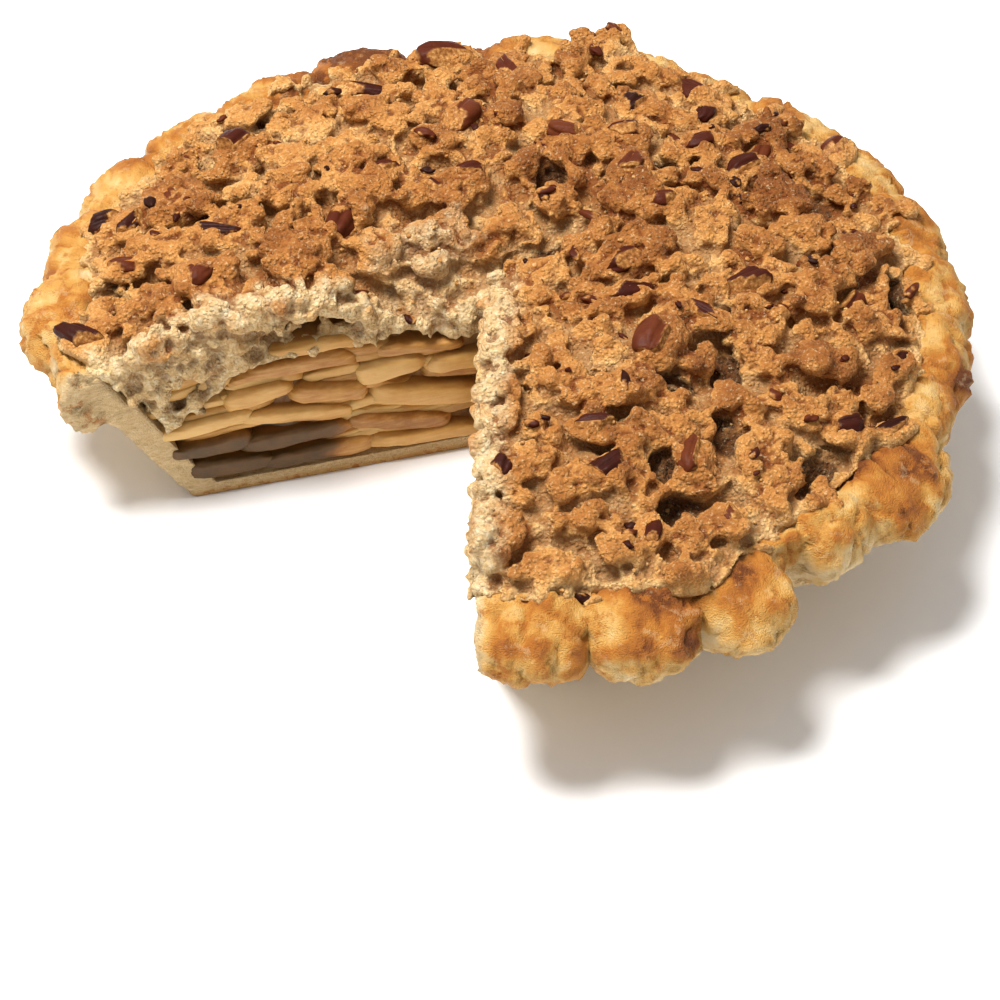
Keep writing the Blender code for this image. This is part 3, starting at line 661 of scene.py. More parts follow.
def nodules(points, faces):
    """Knobs of crumble between the clumps, thicker in some places than in others."""
    draw = random.Random(31)
    spots, normals = face_samples(points, faces, NODULES * 4, 32, crumble_shown)
    at_cut = cut_distance(spots) < 2.5 * MM
    inside = (lumps(spots)[0] > 0.10) | at_cut
    taken, made = set(), []
    for spot, normal, side in zip(spots[inside], normals[inside], at_cut[inside]):
        if len(made) >= NODULES:
            break
        if draw.random() > 0.55 + 1.1 * ripple(Vector(spot), 11.0 * MM, 33):
            continue
        if near_pecan(spot[0], spot[1], 0.4 * MM) or near_pit(spot[0], spot[1], 0.0):
            continue
        low, high = NODULE_RADII
        radius = (low + (high - low) * draw.random() ** 1.6) * (1.35 if side else 1.0)
        key = tuple((spot / (2.2 * MM)).astype(int))
        if key in taken:
            continue
        taken.add(key)
        level = 2 if radius > 1.7 * MM else 1
        made.append(crumb(draw, spot, radius, (0.75, 1.25), level, 0.55, normal, (-0.25, 0.35)))
    return made


def cut_crumbs(points, faces):
    """Coarse crumbs on the torn faces at the two cuts."""

    def torn(middle, _normal):
        return (cut_distance(middle) < 2.5 * MM) * 1.0

    draw = random.Random(37)
    made = []
    for spot, normal in zip(*face_samples(points, faces, CUT_CRUMBS, 38, torn)):
        radius = (0.9 + 2.3 * draw.random() ** 1.4) * MM
        made.append(crumb(draw, spot, radius, (0.75, 1.25), 2, 0.6, normal, (-0.6, 0.5)))
    return made


def edge_crumbs(crust):
    """Crumbs that have spilt over the pastry's rim, in drifts."""
    tree = surface_of(*triangles_of(crust))
    draw = random.Random(34)
    made = []
    for i in range(EDGE_DRIFTS + EDGE_CRUMBS):
        angle = draw.uniform(CUT_START + 1.5, CUT_END - 1.5)
        drift = 0.55 + 0.9 * ripple(polar(RIM_RADIUS, angle, 0.0), 15.0 * MM, 35)
        if angle < EDGE_FRONT:
            drift += 0.4
        radius = EDGE_RADIUS + EDGE_REACH * drift * draw.random()
        hit = tree.ray_cast(polar(radius, angle, 0.2), -UP)
        if not hit[0]:
            continue
        if i < EDGE_DRIFTS:
            made += clump(hit[0], UP, draw)
            continue
        size = (0.9 + 1.8 * draw.random() ** 1.5) * MM
        centre = hit[0] + UP * (0.2 * size)
        made.append(crumb(draw, centre, size, (0.75, 1.25), 2, 0.5))
    return made


def soggy_crumbs():
    """Crumbs that have sunk on to the apples at the cut at CUT_END."""
    draw = random.Random(36)
    c, s = heading(CUT_END)
    inward = Vector((s, -c, 0.0))
    made = []
    for _ in range(SOGGY_CRUMBS):
        along, depth = draw.uniform(30.0, 84.0), draw.uniform(-0.5, 5.0)
        height = 46.5 + 2.0 * depth * draw.random() + 3.0 * math.sin((along - 20.0) / 22.0)
        size = draw.uniform(0.9, 2.6) * MM
        centre = polar(along * MM, CUT_END, height * MM) + inward * (depth * MM)
        made.append(crumb(draw, centre, size, (0.7, 1.3), 2, 0.6))
    return made


def pecan_beds():
    """Crumble that closes round the foot of each pecan."""
    made = []
    for i, ((x, y, length, width, turn), height) in enumerate(pecan_centres()):
        wide = 0.5 * length + BED_MARGIN, 0.5 * width + BED_MARGIN
        size = [wide[0] * MM, wide[1] * MM, 0.36 * width * MM + 0.6 * MM]
        centre = (x * MM, y * MM, height - 0.24 * width * MM)
        made.append(oval(centre, size, math.radians(turn), 3, 0.30, 200 + i))
    return made


def map_cells(points):
    place = ((points[:, :2] + MAP_HALF) / MAP_CELL).astype(int)
    place = np.clip(place, 0, round(2 * MAP_HALF / MAP_CELL) - 1)
    return place[:, 0], place[:, 1]


def level_around(points, upward, span):
    """Mean height of the upward surface within about span of each point."""
    size = round(2 * MAP_HALF / MAP_CELL)
    total, count = np.zeros((size, size)), np.zeros((size, size))
    cells_of = map_cells(points)
    np.add.at(total, cells_of, points[:, 2] * upward)
    np.add.at(count, cells_of, upward)
    known = count > 0.0
    level = np.where(known, total / np.maximum(count, 1e-9), 0.0)
    steps = np.arange(-round(3 * span / MAP_CELL), round(3 * span / MAP_CELL) + 1)
    weights = np.exp(-0.5 * (steps * MAP_CELL / span) ** 2)
    both = []
    for layer in (level, known.astype(float)):
        for axis in (0, 1):
            layer = np.apply_along_axis(np.convolve, axis, layer, weights, "same")
        both.append(layer)
    return (both[0] / np.maximum(both[1], 1e-9))[cells_of]


def facing_up(normals):
    return ramp(normals[:, 2], 0.1, 0.5)


def rise_of(points, normals, span):
    """How high each point stands over the surface around it, in millimetres."""
    return (points[:, 2] - level_around(points, facing_up(normals), span)) / MM


def thickness_below(points, faces):
    """How much crumble lies under each point."""
    tree = surface_of(points, faces)
    made = []
    for point in points:
        hit = tree.ray_cast(Vector(point) - UP * (0.3 * MM), -UP)
        made.append(0.3 * MM + hit[3] if hit[0] else 0.0)
    return np.array(made)


def lumps(points):
    """How far each place is from the gap to the next lump, and a number of its lump's own."""
    flat = points * (1.0, 1.0, 0.0)
    bend = np.stack([ripples(flat, 9.0 * MM, 23), ripples(flat, 9.0 * MM, 24), np.zeros(len(flat))], 1)
    found = [noise.voronoi(place) for place in places(flat + 3.0 * MM * bend, LUMP_SIZE, 25)]
    gap = np.array([distance[1] - distance[0] for distance, _ in found])
    own = np.array([noise.noise(middle[0] * 3.7) for _, middle in found])
    return gap, np.clip(0.5 + 1.1 * own, 0.0, 1.0)


def relieved_solid(node):
    """The crumble's solid with its lumps set off by steeper sides and deeper gaps."""
    solid = built("relief", *node_arrays(node))
    remeshed(solid, RELIEF_GRAIN)
    points, normals = points_of(solid), normals_of(solid)
    upward = facing_up(normals)
    rise = rise_of(points, normals, RELIEF_SPAN)
    ragged = layered(points, LUMP_RAGS)
    gap, own = lumps(points)
    body = np.sqrt(ramp(gap + 0.08 * ripples(points, 4.0 * MM, 28), 0.03, 0.30))
    wanted = RELIEF_HEIGHT * np.tanh((rise + ragged) / 1.6) - RELIEF_SINK
    wanted += LUMP_HEIGHT * (0.85 * body + 0.30 * np.minimum(gap, 0.6)) * (0.40 + 0.60 * own)
    shift = (wanted - rise) * upward * MM
    faces = triangles_of(solid)[1]
    room = thickness_below(points, faces) - THINNEST
    points[:, 2] += np.maximum(shift, -np.maximum(room, 0.0))
    move_points(solid, points)
    normals = normals_of(solid)
    level = (points[:, 2] - level_around(points, upward, SPREAD_SPAN)) / MM
    spread = LUMP_SPREAD * MM * np.tanh(level / 1.5) * upward * (cut_distance(points) > 4.0 * MM)
    points[:, :2] += normals[:, :2] * spread[:, None]
    bpy.data.objects.remove(solid)
    return points, faces


def crumble_piece(nodes, crust):
    points, faces = relieved_solid(nodes["crumble"])
    shapes = [(points, faces), *pecan_beds(), *clumps(points, faces), *nodules(points, faces)]
    shapes += [*cut_crumbs(points, faces), *edge_crumbs(crust), *soggy_crumbs()]
    crumble = built("crumble_top", *stack(shapes))
    remeshed(crumble, SKIN_SIZE)
    roughen_crumble(crumble)
    thin_bed(crumble)
    shade_crumble(crumble)
    return crumble


def roughen_crumble(crumble):
    """Knobs and small swells on the crumble's skin, and hollows in its torn faces."""
    points, edges = points_of(crumble), edges_of(crumble)
    soft = blurred(points, edges, 1)
    move_points(crumble, 0.75 * points + 0.25 * soft)
    points, normals = points_of(crumble), normals_of(crumble)
    high = ramp(rise_of(points, normals, SKIN_SPAN), -2.0, 1.0)
    bent = points + 1.2 * MM * np.stack([ripples(points, 3.0 * MM, seed) for seed in (46, 47, 48)], 1)
    rough = (0.7 + 0.7 * high) * cells(bent, 4.6 * MM, 41) + (0.15 + 0.45 * high) * cells(bent, 2.4 * MM, 42)
    rough += layered(points, CRUMBLE_SWELL) - 1.1
    seen = ramp(normals[:, 2], -0.6, -0.1)
    seen = np.maximum(seen, 1.0 - ramp(cut_distance(points), 2.0 * MM, 4.0 * MM))
    hollow = cut_hollows(points)
    move_points(crumble, points + normals * ((rough * seen - 2.2 * hollow) * MM)[:, None])


def cut_hollows(points):
    """Where the crumble's torn face at a cut falls back into holes, which the crumble's colour also darkens
    as painted shade.
    """
    face = 1.0 - ramp(cut_distance(points), 1.5 * MM, 4.0 * MM)
    low = 1.0 - ramp(points[:, 2], 40.0 * MM, 50.0 * MM)
    return face * low * ramp(ripples(points, 7.0 * MM, 45), 0.10, 0.20)


def thin_bed(crumble):
    """Far fewer faces underneath, where nothing shows."""
    points, normals = points_of(crumble), normals_of(crumble)
    hidden = (normals[:, 2] < -0.35) & (cut_distance(points) > 5.0 * MM)
    group = crumble.vertex_groups.new(name="bed")
    group.add(np.nonzero(hidden)[0].tolist(), 1.0, "REPLACE")
    shown = np.nonzero(~hidden)[0].tolist()
    group.add(shown, 0.02, "REPLACE")
    total = sum(len(face.vertices) - 2 for face in crumble.data.polygons)
    fewer = crumble.modifiers.new("fewer", "DECIMATE")
    fewer.ratio = min(1.0, CRUMBLE_FACES / total)
    fewer.vertex_group = "bed"
    applied(crumble)
    crumble.vertex_groups.clear()


def standing_out(points, normals, edges, rounds):
    """How far each point stands out of its smoothed surroundings, in millimetres."""
    return np.einsum("ij,ij->i", points - blurred(points, edges, rounds), normals) / MM


def shade_crumble(crumble):
    """Browning on what stands up to the heat, pale dough in the hollows and at the cuts, and painted shade:
    dark colour in the creases, the low gaps between lumps and the holes.
    """
    points, normals, edges = points_of(crumble), normals_of(crumble), edges_of(crumble)
    small, wide = (standing_out(points, normals, edges, rounds) for rounds in (6, 36))
    rise = rise_of(points, normals, SKIN_SPAN)
    radius = np.hypot(points[:, 0], points[:, 1])
    gap, own = lumps(points)
    toast = 0.22 + 0.115 * np.clip(rise + 1.2, -1.2, 4.0) + 0.08 * (normals[:, 2] - 0.5)
    toast += 0.28 * (own - 0.5) + layered(points, TOAST_PATCHES)
    toast += 0.13 * ramp(points[:, 0], -80.0 * MM, 60.0 * MM)
    toast -= 0.06 * ramp(radius, 95.0 * MM, 120.0 * MM) + 0.05
    wobble = layered(points, PALE_EDGE)
    fresh = 1.0 - ramp(cut_distance(points) / MM + wobble, 1.0, 8.0)
    bare = np.hypot(points[:, 0] - PALE_PLACE[0], points[:, 1] - PALE_PLACE[1]) / MM
    fresh = np.maximum(fresh, 0.75 * (1.0 - ramp(bare + 3.0 * wobble, 8.0, 22.0)))
    # Painted shade: dark colour in small and wide creases and in low gaps between lumps, where shade falls.
    crease = -2.7 * small - 1.35 * wide + 0.9 * (1.0 - ramp(gap, 0.02, 0.12)) * ramp(-rise, -0.5, 1.5)
    inside = np.array([near_pit(x, y, 1.0 * MM) for x, y in points[:, :2]])
    # Painted shade: dark colour inside the holes between lumps and in the hollows at the cuts.
    pit = np.maximum(inside * ramp(-rise, 0.8, 3.0), 0.8 * cut_hollows(points))
    store(crumble, toast=np.clip(toast, 0.0, 1.0), fresh=fresh, crease=np.clip(crease, 0.0, 1.0), pit=pit)


def grain_piece(crumble):
    """Loose grains that lie over the crumble, all of them one mesh."""

    def open_to_sky(middle, normal):
        return crumble_shown(middle, normal) * (normal[:, 2] > 0.1)

    spots, normals = face_samples(*triangles_of(crumble), GRAINS, 61, open_to_sky)
    draw = random.Random(62)
    shapes, toast = [], []
    for spot, normal in zip(spots, normals):
        low, high = GRAIN_RADII
        radius = low + (high - low) * draw.random() ** 1.6
        shapes.append(crumb(draw, spot + normal * 0.3 * radius, radius, (0.7, 1.3), 1, 0.5))
        toast.extend([draw.random()] * len(shapes[-1][0]))
    grains = built("crumble_grains", *stack(shapes))
    fresh = 1.0 - ramp(cut_distance(points_of(grains)), 1.5 * MM, 6.0 * MM)
    none = np.zeros(len(toast))
    store(grains, toast=0.10 + 0.35 * np.array(toast), fresh=fresh, crease=none, pit=none)
    return grains


# Apples


def hidden_slices():
    """Slices at the cut at CUT_START, laid in rows by rule."""
    draw = random.Random(HIDDEN_SEED)
    rows = []
    for height, half_thick in HIDDEN_ROWS:
        along = draw.uniform(12, 20)
        reach = 84 + 0.42 * height
        while along < reach:
            half = draw.uniform(13, 19)
            middle = min(along, reach - half + 4)
            level, tilt = height + draw.uniform(-0.5, 0.5), draw.uniform(-6, 6)
            rows.append((middle, level, half, half_thick, tilt, 1.2))
            along += 1.85 * half
    return rows


def tucked_slices():
    """Thin slices that show a little in the gaps between the others at CUT_END."""
    draw = random.Random(TUCKED_SEED)
    rows = []
    for _ in range(TUCKED_SLICES):
        height = draw.uniform(10.0, 45.0)
        along = draw.uniform(8.0, 84.0 + 0.3 * height)
        half, thick = draw.uniform(9.0, 17.0), draw.uniform(1.4, 2.6)
        rows.append((along, height, half, thick, draw.uniform(-11.0, 11.0), draw.uniform(0.3, 2.2)))
    return rows


def slice_arrays(face_angle, outwards, row, seed, back):
    """One apple slice, fine enough for its fibres and torn edges, with one value a point: how near its cut
    edge."""
    along, height, half_length, half_thick, tilt, bow = row
    thin_end = 1.0 if seed % 2 else -1.0
    bm = bmesh.new()
    bmesh.ops.create_uvsphere(bm, u_segments=72, v_segments=18, radius=1.0)
    bm.transform(Matrix.Rotation(math.radians(90.0), 4, "X"))
    rim = []
    for vert in bm.verts:
        x, y, z = vert.co
        long = math.copysign(abs(x) ** SLICE_BLUNTNESS, x) * half_length
        thick = math.copysign(abs(z) ** SLICE_BLUNTNESS, z) * half_thick
        thick *= 1.0 - 0.5 * float(ramp(x * thin_end, 0.1, 1.0))
        deep = math.copysign(abs(y) ** 0.5, y)
        place = Vector((long * 0.30, y * 3.0, thick))
        rag = 0.60 * ripple(place, 2.4, seed) + 0.30 * ripple(place, 0.9, seed + 1)
        edge = 1.0 + 0.16 * ripple(Vector((long, 0.0, 0.0)), 6.0, seed + 2)
        rise = thick * edge + bow * (0.5 - x * x) + rag
        vert.co = Vector((long * (1.0 + 0.04 * rag) * MM, SLICE_DEPTH * deep, rise * MM))
        rim.append(abs(z))
    bm.transform(Matrix.Rotation(-math.radians(tilt), 4, "Y"))
    turn = math.radians(face_angle)
    out = Vector((math.sin(turn), -math.cos(turn), 0.0)) * outwards
    proud = SLICE_PROUD * (1.0 + 0.4 * ripple(Vector((along, height, 0.0)), 9.0, 6))
    bm.transform(Matrix.Rotation(turn, 4, "Z"))
    middle = polar(along * MM, face_angle, height * MM)
    bm.transform(Matrix.Translation(middle + out * (proud - SLICE_DEPTH - back)))
    return *arrays_of(bm), np.array(rim)


def slices_piece():
    draw = random.Random(71)
    shapes, tint, rim = [], [], []
    rows = [(CUT_END, -1.0, row, 0.0) for row in SHOWN_SLICES]
    rows += [(CUT_END, -1.0, row, TUCKED_BACK) for row in tucked_slices()]
    rows += [(CUT_START, 1.0, row, 0.0) for row in hidden_slices()]
    for i, (angle, outwards, row, back) in enumerate(rows):
        points, faces, edge = slice_arrays(angle, outwards, row, 300 + 3 * i, back)
        dark = browned_apple(points) if angle == CUT_END else np.zeros(len(points))
        shapes.append((points, faces))
        tint.extend(np.clip(draw.uniform(0.05, 0.60) * (1.0 - dark) + 0.92 * dark, 0.0, 1.0))
        rim.extend(edge)
    slices = built("apple_slices", *stack(shapes))
    store(slices, tint=tint, rim=rim)
    return slices


def browned_apple(points):
    """How much each point lies in the dark soft zone low in the filling near the wall."""
    c, s = heading(CUT_END)
    along = (points[:, 0] * c + points[:, 1] * s) / MM
    wobble = 3.0 * ripples(points, 9.0 * MM, 83)
    return ramp(along + wobble, 44.0, 56.0) * (1.0 - ramp(points[:, 2] / MM + wobble, 20.0, 25.0))


def core_piece(nodes):
    """The filling behind the slices: the solid, drawn in a little and roughened."""
    core = built("apple_core", *node_arrays(nodes["apple_filling"]))
    remeshed(core, CORE_GRAIN)
    points, normals = points_of(core), normals_of(core)
    near = 1.0 - ramp(cut_distance(points), 4.0 * MM, 9.0 * MM)
    inward = -1.3 * near + 0.7 * near * ripples(points, 3.5 * MM, 81)
    move_points(core, points + normals * (inward * MM)[:, None])
    points = points_of(core)
    store(core, tint=browned_apple(points), rim=np.zeros(len(points)))
    return core


# Pecans


def pecan_arrays(row, height, seed):
    """A piece of chopped pecan: ridged along its length, grooved, and cut by a few planes.
    Also gives how much each point belongs to a pale broken face."""
    x, y, length, width, turn = row
    draw = random.Random(seed)
    bm = bmesh.new()
    bmesh.ops.create_uvsphere(bm, u_segments=44, v_segments=30, radius=1.0)
    bm.transform(Matrix.Rotation(math.radians(90.0), 4, "Y"))
    size = Vector((0.54 * length, 0.54 * width, 0.5 * width * 0.80)) * MM
    ridges, phase = draw.choice((6, 7, 8)), draw.uniform(0.0, 6.3)
    side = draw.choice((-1.0, 1.0))
    planes = [
        (Vector((side, draw.uniform(-0.7, 0.7), draw.uniform(-0.1, 0.8))), draw.uniform(0.42, 0.72)),
        (Vector((-side, draw.uniform(-0.8, 0.8), draw.uniform(-0.2, 0.6))), draw.uniform(0.62, 0.95)),
    ]
    sideways = Vector((draw.uniform(-0.4, 0.4), draw.choice((-1.0, 1.0)), draw.uniform(0.0, 0.7)))
    planes.append((sideways, draw.uniform(0.45, 0.85)))
    broken = []
    for vert in bm.verts:
        px, py, pz = vert.co
        around = math.atan2(pz, py)
        swell = 1.0 + 0.22 * ripple(vert.co.copy(), 0.9, seed)
        bend = 0.9 * math.sin(2.2 * px + phase)
        ridge = 0.085 * abs(math.cos(0.5 * ridges * around + phase + bend)) ** 0.6
        wrinkle = 0.07 * ripple(Vector((px * 2.2, py * 5.0, pz * 5.0)), 1.0, seed + 400)
        groove = 0.30 * max(0.0, pz) ** 2 * math.exp(-((py / 0.15) ** 2))
        scale = swell * (0.95 + ridge + wrinkle) - groove
        blunt = math.copysign(abs(px) ** 0.75, px)
        shaped = Vector((blunt * swell, py * scale, pz * scale))
        bare = 0.0
        for plane, limit in planes:
            away = plane.normalized()
            chip = limit + 0.07 * ripple(shaped * 3.0, 1.0, seed + 800)
            past = shaped.dot(away) - chip
            if past > 0.0:
                shaped -= away * (0.94 * past)
                bare = max(bare, min(1.0, past / 0.06))
        broken.append(bare)
        vert.co = Vector((shaped.x * size.x, shaped.y * size.y, shaped.z * size.z))
    tilt = math.radians(9.0) * ripple(Vector((x, y, 0.0)), 13.0, 8)
    bm.transform(Matrix.Rotation(draw.uniform(-0.5, 0.5), 4, "X"))
    bm.transform(Matrix.Rotation(tilt + draw.uniform(-0.12, 0.12), 4, "Y"))
    bm.transform(Matrix.Rotation(math.radians(turn), 4, "Z"))
    bm.transform(Matrix.Translation((x * MM, y * MM, height)))
    return *arrays_of(bm), broken


def nut_piece(name, nuts, draw):
    """One mesh of many bits of pecan, each with a tone of its own."""
    shapes, broken, tone = [], [], []
    for points, faces, ends in nuts:
        shapes.append((points, faces))
        broken.extend(ends)
        tone.extend([draw.random()] * len(points))
    piece = built(name, *stack(shapes))
    store(piece, broken=broken, tone=tone)
    return piece


def pecans_piece():
    centres = enumerate(pecan_centres())
    nuts = (pecan_arrays(row, height, 500 + i) for i, (row, height) in centres)
    return nut_piece("pecans", nuts, random.Random(91))


def chips_piece(crumble):
    """Small chips of pecan, the ones that show in known places and a scatter."""
    tree = surface_of(*triangles_of(crumble))
    draw = random.Random(101)
    spots = [(x * MM, y * MM, 3.4) for x, y in CHIP_PLACES]
    while len(spots) < len(CHIP_PLACES) + SCATTERED_CHIPS:
        place = polar(0.122 * math.sqrt(draw.random()), draw.uniform(CUT_START + 3, CUT_END - 3), 0.0)
        if not near_pecan(place.x, place.y, 1.5 * MM):
            spots.append((place.x, place.y, draw.uniform(1.3, 3.2)))

    def chips():
        for i, (x, y, size) in enumerate(spots):
            hit = tree.ray_cast(Vector((x, y, 0.2)), -UP)
            if hit[0]:
                length = size * draw.uniform(1.3, 2.1)
                row = (x / MM, y / MM, length, size, draw.uniform(0, 180))
                yield small_chip(row, hit[0].z + 0.1 * size * MM, 700 + i)

    return nut_piece("pecan_chips", chips(), draw)


def small_chip(row, height, seed):
    x, y, length, width, turn = row
    size = (0.5 * length * MM, 0.5 * width * MM, 0.36 * width * MM)
    points, faces = oval((x * MM, y * MM, height), size, math.radians(turn), 3, 0.55, seed)
    broken = (ripples(points, 2.5 * MM, seed) > 0.25).astype(float)
    return points, faces, broken


# Materials

# Colours from pale to brown along a scale of 0 to 1
CRUMBLE_COLOURS = (
    (0.00, (0.84, 0.55, 0.230)),
    (0.20, (0.79, 0.44, 0.145)),
    (0.40, (0.69, 0.33, 0.088)),
    (0.60, (0.57, 0.245, 0.058)),
    (0.80, (0.41, 0.155, 0.032)),
    (1.00, (0.20, 0.060, 0.010)),
)
PALE_CRUMBLE_COLOURS = (
    (0.30, (0.56, 0.36, 0.15)),
    (0.50, (0.80, 0.60, 0.31)),
    (0.72, (0.92, 0.82, 0.55)),
)
CRUST_COLOURS = (
    (0.00, (0.71, 0.53, 0.285)),
    (0.20, (0.63, 0.395, 0.140)),
    (0.42, (0.55, 0.28, 0.062)),
    (0.62, (0.44, 0.165, 0.023)),
    (0.82, (0.29, 0.090, 0.013)),
    (1.00, (0.13, 0.036, 0.007)),
)
DOUGH_COLOURS = (
    (0.30, (0.50, 0.33, 0.14)),
    (0.55, (0.63, 0.45, 0.23)),
    (0.75, (0.73, 0.57, 0.33)),
)
APPLE_COLOURS = (
    (0.00, (0.61, 0.38, 0.130)),
    (0.30, (0.48, 0.245, 0.058)),
    (0.55, (0.33, 0.135, 0.026)),
    (0.80, (0.118, 0.052, 0.010)),
    (1.00, (0.068, 0.033, 0.006)),
)
CORE_COLOURS = (
    (0.30, (0.10, 0.045, 0.015)),
    (0.52, (0.26, 0.13, 0.045)),
    (0.75, (0.42, 0.24, 0.09)),
)
PECAN_COLOURS = (
    (0.05, (0.020, 0.005, 0.003)),
    (0.40, (0.042, 0.008, 0.004)),
    (0.75, (0.066, 0.013, 0.005)),
    (1.00, (0.095, 0.022, 0.007)),
)
PECAN_MEAT_COLOURS = (
    (0.30, (0.12, 0.040, 0.012)),
    (0.52, (0.31, 0.130, 0.034)),
    (0.75, (0.60, 0.36, 0.13)),
)


class Paint:
    """A material's node tree, built a line at a time."""

    def __init__(self, name, roughness, specular=0.5):
        self.material = bpy.data.materials.new(name)
        self.material.use_nodes = True
        self.tree = self.material.node_tree
        self.shader = self.tree.nodes["Principled BSDF"]
        self.shader.inputs["Roughness"].default_value = roughness
        self.shader.inputs["Specular IOR Level"].default_value = specular
        self.spot = self.node("ShaderNodeTexCoord").outputs["Object"]

    def node(self, kind, inputs=(), **values):
        """A new node with its settings and inputs, the inputs as (name or number, value)."""
        made = self.tree.nodes.new(kind)
        for name, value in values.items():
            setattr(made, name, value)
        for name, value in inputs:
            self.feed(made.inputs[name], value)
        return made

    def feed(self, socket, value):
        """Sets a socket to a number or colour, or links it to another's output."""
        if isinstance(value, bpy.types.NodeSocket):
            self.tree.links.new(value, socket)
        elif isinstance(value, tuple) and len(value) == 3 and socket.type == "RGBA":
            socket.default_value = (*value, 1.0)
        else:
            socket.default_value = value

    def attribute(self, name):
        return self.node("ShaderNodeAttribute", attribute_name=name).outputs["Fac"]

    def noise(self, size, detail=3.0, roughness=0.55, stretch=None):
        """Noise around 0.5 with bumps of this size in metres."""
        spot = self.spot
        if stretch:
            stretched = (("Scale", stretch), ("Vector", spot))
            spot = self.node("ShaderNodeMapping", stretched).outputs["Vector"]
        inputs = (("Scale", 1.0 / size), ("Detail", detail), ("Roughness", roughness), ("Vector", spot))
        return self.node("ShaderNodeTexNoise", inputs).outputs["Fac"]

    def cells(self, size):
        inputs = (("Scale", 1.0 / size), ("Vector", self.spot))
        return self.node("ShaderNodeTexVoronoi", inputs).outputs["Distance"]

    def math(self, operation, *values):
        return self.node("ShaderNodeMath", enumerate(values), operation=operation).outputs["Value"]

    def times(self, first, second):
        return self.math("MULTIPLY", first, second)

    def plus(self, first, second):
        return self.math("ADD", first, second)

    def spread(self, value, low, high, to_low=0.0, to_high=1.0):
        """A value between low and high brought to another range, softly and held to it."""
        names = ("Value", "From Min", "From Max", "To Min", "To Max")
        inputs = zip(names, (value, low, high, to_low, to_high))
        made = self.node("ShaderNodeMapRange", inputs, interpolation_type="SMOOTHSTEP")
        return made.outputs["Result"]

    def varied(self, name, size, detail, roughness, much):
        """A stored number, varied up and down by noise."""
        noise = self.math("MULTIPLY_ADD", self.noise(size, detail, roughness), much, -0.5 * much)
        return self.plus(noise, self.attribute(name))

    def ramp(self, value, stops):
        made = self.node("ShaderNodeValToRGB", (("Fac", value),))
        band = made.color_ramp
        while len(band.elements) > 1:
            band.elements.remove(band.elements[-1])
        band.elements[0].position = stops[0][0]
        band.elements[0].color = (*stops[0][1], 1.0)
        for position, colour in stops[1:]:
            band.elements.new(position).color = (*colour, 1.0)
        return made.outputs["Color"]

    def over(self, share, below, above):
        """One colour laid over another by a share of 0 to 1."""
        inputs = (("Factor", share), (6, below), (7, above))
        made = self.node("ShaderNodeMix", inputs, data_type="RGBA", clamp_result=False)
        return made.outputs[2]

    def bump(self, height, distance, strength):
        inputs = (("Strength", strength), ("Distance", distance), ("Height", height))
        return self.node("ShaderNodeBump", inputs).outputs["Normal"]

    def finish(self, colour, normal=None):
        self.feed(self.shader.inputs["Base Color"], colour)
        if normal is not None:
            self.feed(self.shader.inputs["Normal"], normal)
        return self.material


def crumble_paint(name):
    paint = Paint(name, 0.82, 0.25)
    toast = paint.varied("toast", 4.0 * MM, 5.0, 0.65, 0.50)
    colour = paint.ramp(toast, CRUMBLE_COLOURS)
    pale = paint.ramp(paint.noise(2.2 * MM, 4.0, 0.6), PALE_CRUMBLE_COLOURS)
    colour = paint.over(paint.times(paint.attribute("fresh"), 0.85), colour, pale)
    # Painted shade: the creases and low gaps darkened to a deep brown.
    crease = paint.times(paint.attribute("crease"), paint.spread(toast, 0.05, 0.50, 0.60, 1.00))
    crease = paint.times(crease, paint.spread(paint.attribute("fresh"), 0.0, 1.0, 1.0, 0.75))
    colour = paint.over(crease, colour, (0.16, 0.036, 0.003))
    speck = paint.spread(paint.cells(1.9 * MM), 0.10, 0.16, 1.0, 0.0)
    speck = paint.times(speck, paint.spread(paint.noise(7.0 * MM), 0.52, 0.60))
    colour = paint.over(paint.times(speck, 0.75), colour, (0.17, 0.055, 0.02))
    # Pale specks: partly the crystals' own colour and partly painted highlight that stands for their
    # sparkle.
    sugar_glint = paint.spread(paint.cells(1.3 * MM), 0.07, 0.13, 1.0, 0.0)
    sugar_glint = paint.times(sugar_glint, paint.spread(paint.noise(11.0 * MM), 0.50, 0.58))
    colour = paint.over(paint.times(sugar_glint, 0.55), colour, (0.90, 0.78, 0.58))
    # Painted shade: the holes painted near black.
    colour = paint.over(paint.times(paint.attribute("pit"), 0.90), colour, (0.030, 0.013, 0.005))
    grain = paint.noise(1.1 * MM, 5.0, 0.72)
    knob = paint.spread(paint.cells(1.25 * MM), 0.15, 0.65, 0.0, 1.0)
    # Painted shade: darker brown where the bump sinks, between knobs and in the low grain.
    dark = paint.plus(paint.times(knob, 0.45), paint.spread(grain, 0.55, 0.36, 0.0, 0.55))
    dark = paint.times(dark, paint.spread(paint.attribute("fresh"), 0.0, 1.0, 0.50, 0.25))
    colour = paint.over(dark, colour, (0.30, 0.088, 0.010))
    # Painted highlight: pale glints where the bump stands up.
    glint = paint.spread(grain, 0.54, 0.70, 0.0, 0.55)
    colour = paint.over(glint, colour, (0.90, 0.68, 0.38))
    height = paint.math("MULTIPLY_ADD", knob, -0.42, grain)
    return paint.finish(colour, normal=paint.bump(height, 1.5 * MM, 1.0))


